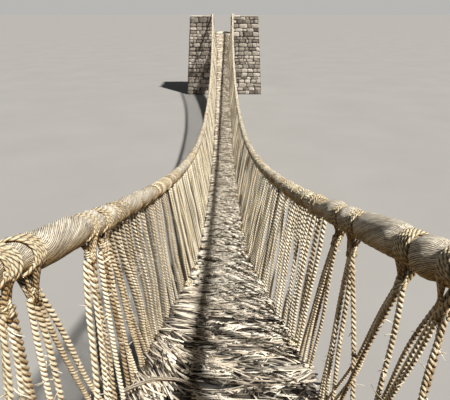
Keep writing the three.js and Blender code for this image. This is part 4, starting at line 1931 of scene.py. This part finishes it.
@dataclass
class Trimmings:
    """Knots, loose fibres and one long bent pole.

    Args:
        rng: source of the small differences.
        knots_each_side: number of knots along each edge of the mat.
        fibres: number of loose fibres.
    """

    rng: np.random.Generator
    knots_each_side: int = 6
    fibres: int = 700

    def knots(self) -> None:
        """Makes the knots that tie the mat's edge to the floor ropes."""
        heap, rng = Heap(), self.rng
        for side in Side:
            s = 2.5 + 25 * rng.uniform(0, 1, self.knots_each_side) ** 1.8
            t = np.linspace(0, TURN, 37)[None]
            shape = np.stack([np.sin(t) + 2 * np.sin(2 * t), np.cos(t) - 2 * np.cos(2 * t),
                              -np.sin(3 * t)], -1)
            turn = rng.uniform(0, TURN, (len(s), 1))
            size = rng.uniform(0.008, 0.013, (len(s), 1))
            x = shape[..., 0] * np.cos(turn) - shape[..., 1] * np.sin(turn)
            y = shape[..., 0] * np.sin(turn) + shape[..., 1] * np.cos(turn)
            middle = xyz(side.value * (LINE.deck_half(s) - 0.03), LINE.y(s),
                         LINE.deck(s) + 0.022)
            local = xyz(x * size, y * size, shape[..., 2] * size * 0.6)
            heap.sweep(middle[:, None] + local, 0.0085, Section.plain(5), (0.1, 0.2, 1.0),
                       rng.uniform(0.7, 1.0, len(s)))
        place(heap.build("edge_knots"), [Finish.HITCH], "hanger_rope")

    def fuzz(self, hangers: Array) -> None:
        """Makes the loose fibres that stand out from the nearest hangers.

        Args:
            hangers: tops and feet of those hangers.
        """
        rng = self.rng
        pick = rng.integers(0, len(hangers), self.fibres)
        t = rng.uniform(0.02, 0.98, (self.fibres, 1))
        root = hangers[pick, 0] * (1 - t) + hangers[pick, 1] * t
        away = unit(rng.normal(0, 1, (self.fibres, 3)))
        curl = unit(rng.normal(0, 1, (self.fibres, 3)))
        length = rng.uniform(0.015, 0.05, (self.fibres, 1))
        thinning = np.array([[0.0020, 0.0018, 0.0014, 0.0007]])
        u = np.linspace(0, 1, thinning.size)[None, :, None]
        paths = (root[:, None] + away[:, None] * u * length[:, None]
                 + curl[:, None] * u * u * length[:, None] * 0.45)
        heap = Heap()
        heap.sweep(paths, thinning, Section.plain(3), (0.31, 0.17, 0.93),
                   rng.uniform(0.6, 1, self.fibres))
        place(heap.build("loose_fibres"), [Finish.HANGER], "hanger_rope")

    def pole(self) -> None:
        """Makes the long bent pole across the near left corner of the mat."""
        steps = 40
        course = np.array([(-0.86, 2.10, -0.06), (-0.66, 2.20, 0.0), (-0.50, 2.32, 0.026),
                           (-0.42, 2.38, 0.030), (-0.27, 2.38, 0.026), (-0.13, 2.30, 0.010)])
        t = np.linspace(0, len(course) - 1, steps)
        smooth = np.stack([np.interp(t, range(len(course)), course[:, k]) for k in range(3)], -1)
        for _ in range(3):
            smooth[1:-1] = (smooth[:-2] + 2 * smooth[1:-1] + smooth[2:]) / 4
        x, s, above = smooth.T
        path = xyz(x, LINE.y(s), LINE.deck(s) + above)
        section = Section.strands(4, 3)
        rough = self.rng.normal(0, 0.05, (1, steps, len(section.factors)))
        radii = np.linspace(0.016, 0.009, steps)[None, :, None] * (1 + rough)
        heap = Heap()
        heap.sweep(path[None], radii, section, Z_AXIS, [0.3], np.linspace(0, 5, steps)[None])
        place(heap.build("bent_pole"), [Finish.RAIL], "stick_mat")


# Studio


@dataclass
class Studio:
    """Pale floor, soft light and the camera.

    Args:
        eye: place of the camera.
        pitch: how far it looks down, in degrees.
        yaw: how far it looks to the right, in degrees.
        lens: focal length, in millimetres.
        sensor: width of the sensor, in millimetres.
        sun_from: direction of the key light, as seen from the bridge.
        sun_strength: its strength.
        sun_width: angle that it fills, in degrees.
        fill_from: direction of the fill light.
        fill_strength: its strength.
        fill_width: angle that it fills, in degrees.
        sky_low: colour of the surroundings at the horizon.
        sky_high: their colour above.
        floor_half: half the width of the floor.
        floor_drop: how far it lies below the bridge's feet.
    """

    eye: Point = (-0.006, -13.427, 4.739)
    pitch: float = 24.126
    yaw: float = 0.324
    lens: float = 33.22
    sensor: float = 36.0
    sun_from: Point = (0.435, -0.50, 0.80)
    sun_strength: float = 7.0
    sun_width: float = 3.0
    fill_from: Point = (-0.45, -0.80, 0.40)
    fill_strength: float = 0.15
    fill_width: float = 50.0
    sky_low: Colour = (0.48, 0.475, 0.46)
    sky_high: Colour = (0.08, 0.085, 0.095)
    floor_half: float = 3000.0
    floor_drop: float = 0.002

    def floor(self) -> None:
        """Makes the floor, which isn't part of the bridge."""
        h, z = self.floor_half, -self.floor_drop
        mesh = bpy.data.meshes.new("floor")
        mesh.from_pydata([(-h, -h, z), (h, -h, z), (h, h, z), (-h, h, z)], [], [(0, 1, 2, 3)])
        mesh.materials.append(Finish.FLOOR.material)
        linked("floor", mesh)

    def lamp(self, name: str, towards: Point, strength: float, width: float,
             colour: Colour) -> None:
        """Makes one light.

        Args:
            name: its name.
            towards: direction of the light as seen from the bridge.
            strength: its strength.
            width: angle that it fills, in degrees.
            colour: its colour.
        """
        data = bpy.data.lights.new(name, "SUN")
        data.energy = strength
        data.angle = math.radians(width)
        data.color = colour
        x, y, z = towards
        linked(name, data).rotation_euler = (
            math.atan2(math.hypot(x, y), z), 0, math.atan2(x, -y))

    def light(self) -> None:
        """Makes the high key light from the right, the fill, and the pale horizon."""
        self.lamp("key", self.sun_from, self.sun_strength, self.sun_width, (1.0, 0.965, 0.91))
        self.lamp("fill", self.fill_from, self.fill_strength, self.fill_width, (1.0, 0.92, 0.80))
        world = bpy.data.worlds.new("surroundings")
        world.use_nodes = True
        tree = world.node_tree
        directions = tree.nodes.new("ShaderNodeTexCoord")
        parts = tree.nodes.new("ShaderNodeSeparateXYZ")
        ramp = tree.nodes.new("ShaderNodeValToRGB")
        tree.links.new(directions.outputs["Generated"], parts.inputs[0])
        tree.links.new(parts.outputs[2], ramp.inputs[0])
        tree.links.new(ramp.outputs[0], tree.nodes["Background"].inputs["Color"])
        low, high = ramp.color_ramp.elements
        low.position, high.position = 0.035, 0.12
        low.color, high.color = (*self.sky_low, 1.0), (*self.sky_high, 1.0)
        bpy.context.scene.world = world
        bpy.context.scene.view_settings.view_transform = "Standard"

    def camera(self) -> None:
        """Makes the camera where the photograph was taken from."""
        lens = bpy.data.cameras.new("eye")
        lens.lens = self.lens
        lens.sensor_width = self.sensor
        lens.sensor_fit = "HORIZONTAL"
        lens.clip_start = 0.02
        lens.clip_end = 2 * self.floor_half
        made = linked("eye", lens)
        made.location = self.eye
        made.rotation_euler = (math.radians(90 - self.pitch), 0, math.radians(-self.yaw))
        bpy.context.scene.camera = made


def main() -> None:
    """Builds the bridge piece by piece."""
    studio = Studio()
    studio.camera()
    studio.light()
    studio.floor()
    unseen = (Group(0.38, (0.52, 0.61, 0.70)), Group(0.80, (0.90, 0.99, 1.08)))
    left = unseen + (
        Group(1.12, (1.14, 1.22, 1.30), 0.0090),
        Group(1.43, (1.12, 1.20, 1.28, 1.36, 1.44), 0.0088),
        Group(1.57, (1.58, 1.62, 2.00, 2.08), 0.0105),
        Group(2.04, (1.80, 1.88, 1.96, 2.04, 2.12), 0.0130),
        Group(2.22, (2.22, 2.32, 2.42, 2.52, 2.61, 2.70), 0.0132))
    right = unseen + (
        Group(1.12, (1.14, 1.22, 1.30), 0.0090),
        Group(1.43, (1.33, 1.39, 1.45, 1.72, 1.79, 1.86), 0.0090),
        Group(1.66, (1.66, 2.08, 2.16, 2.24), 0.0100),
        Group(2.12, (1.76, 2.10, 2.17, 2.24, 2.31), 0.0112),
        Group(2.34, (2.56, 2.63, 2.71, 2.79), 0.0118))
    # painted light: the right net's hangers are paler, with less painted shade and fewer dark
    # hangers, as its inner side faces away from the key light
    nets = [Hangers(Side.LEFT, left, 2.39, 0.40, 3.4, np.random.default_rng(21)),
            Hangers(Side.RIGHT, right, 2.66, 0.22, 3.2, np.random.default_rng(22), (0.4, 1.4),
                    (0.1, 0.6), 0.45)]
    for net in nets:
        pinches = np.array([group.at for group in net.groups])
        Handrails().build(net.side, pinches, np.random.default_rng(11 + net.side.value))
    for number, lane in enumerate(LANES, 1):
        FloorRope(lane).build(number)
    close = np.concatenate([net.build() for net in nets])
    Mat(np.random.default_rng(31)).build()
    for end in End:
        abutment = Abutment(end, np.random.default_rng(41 + end.value))
        abutment.masonry()
        abutment.caps()
        abutment.anchor_log()
    trimmings = Trimmings(np.random.default_rng(51))
    trimmings.knots()
    trimmings.fuzz(close)
    trimmings.pole()


if __name__ == "__main__":
    logging.basicConfig(level=logging.INFO, format="%(name)s: %(message)s")
    main()
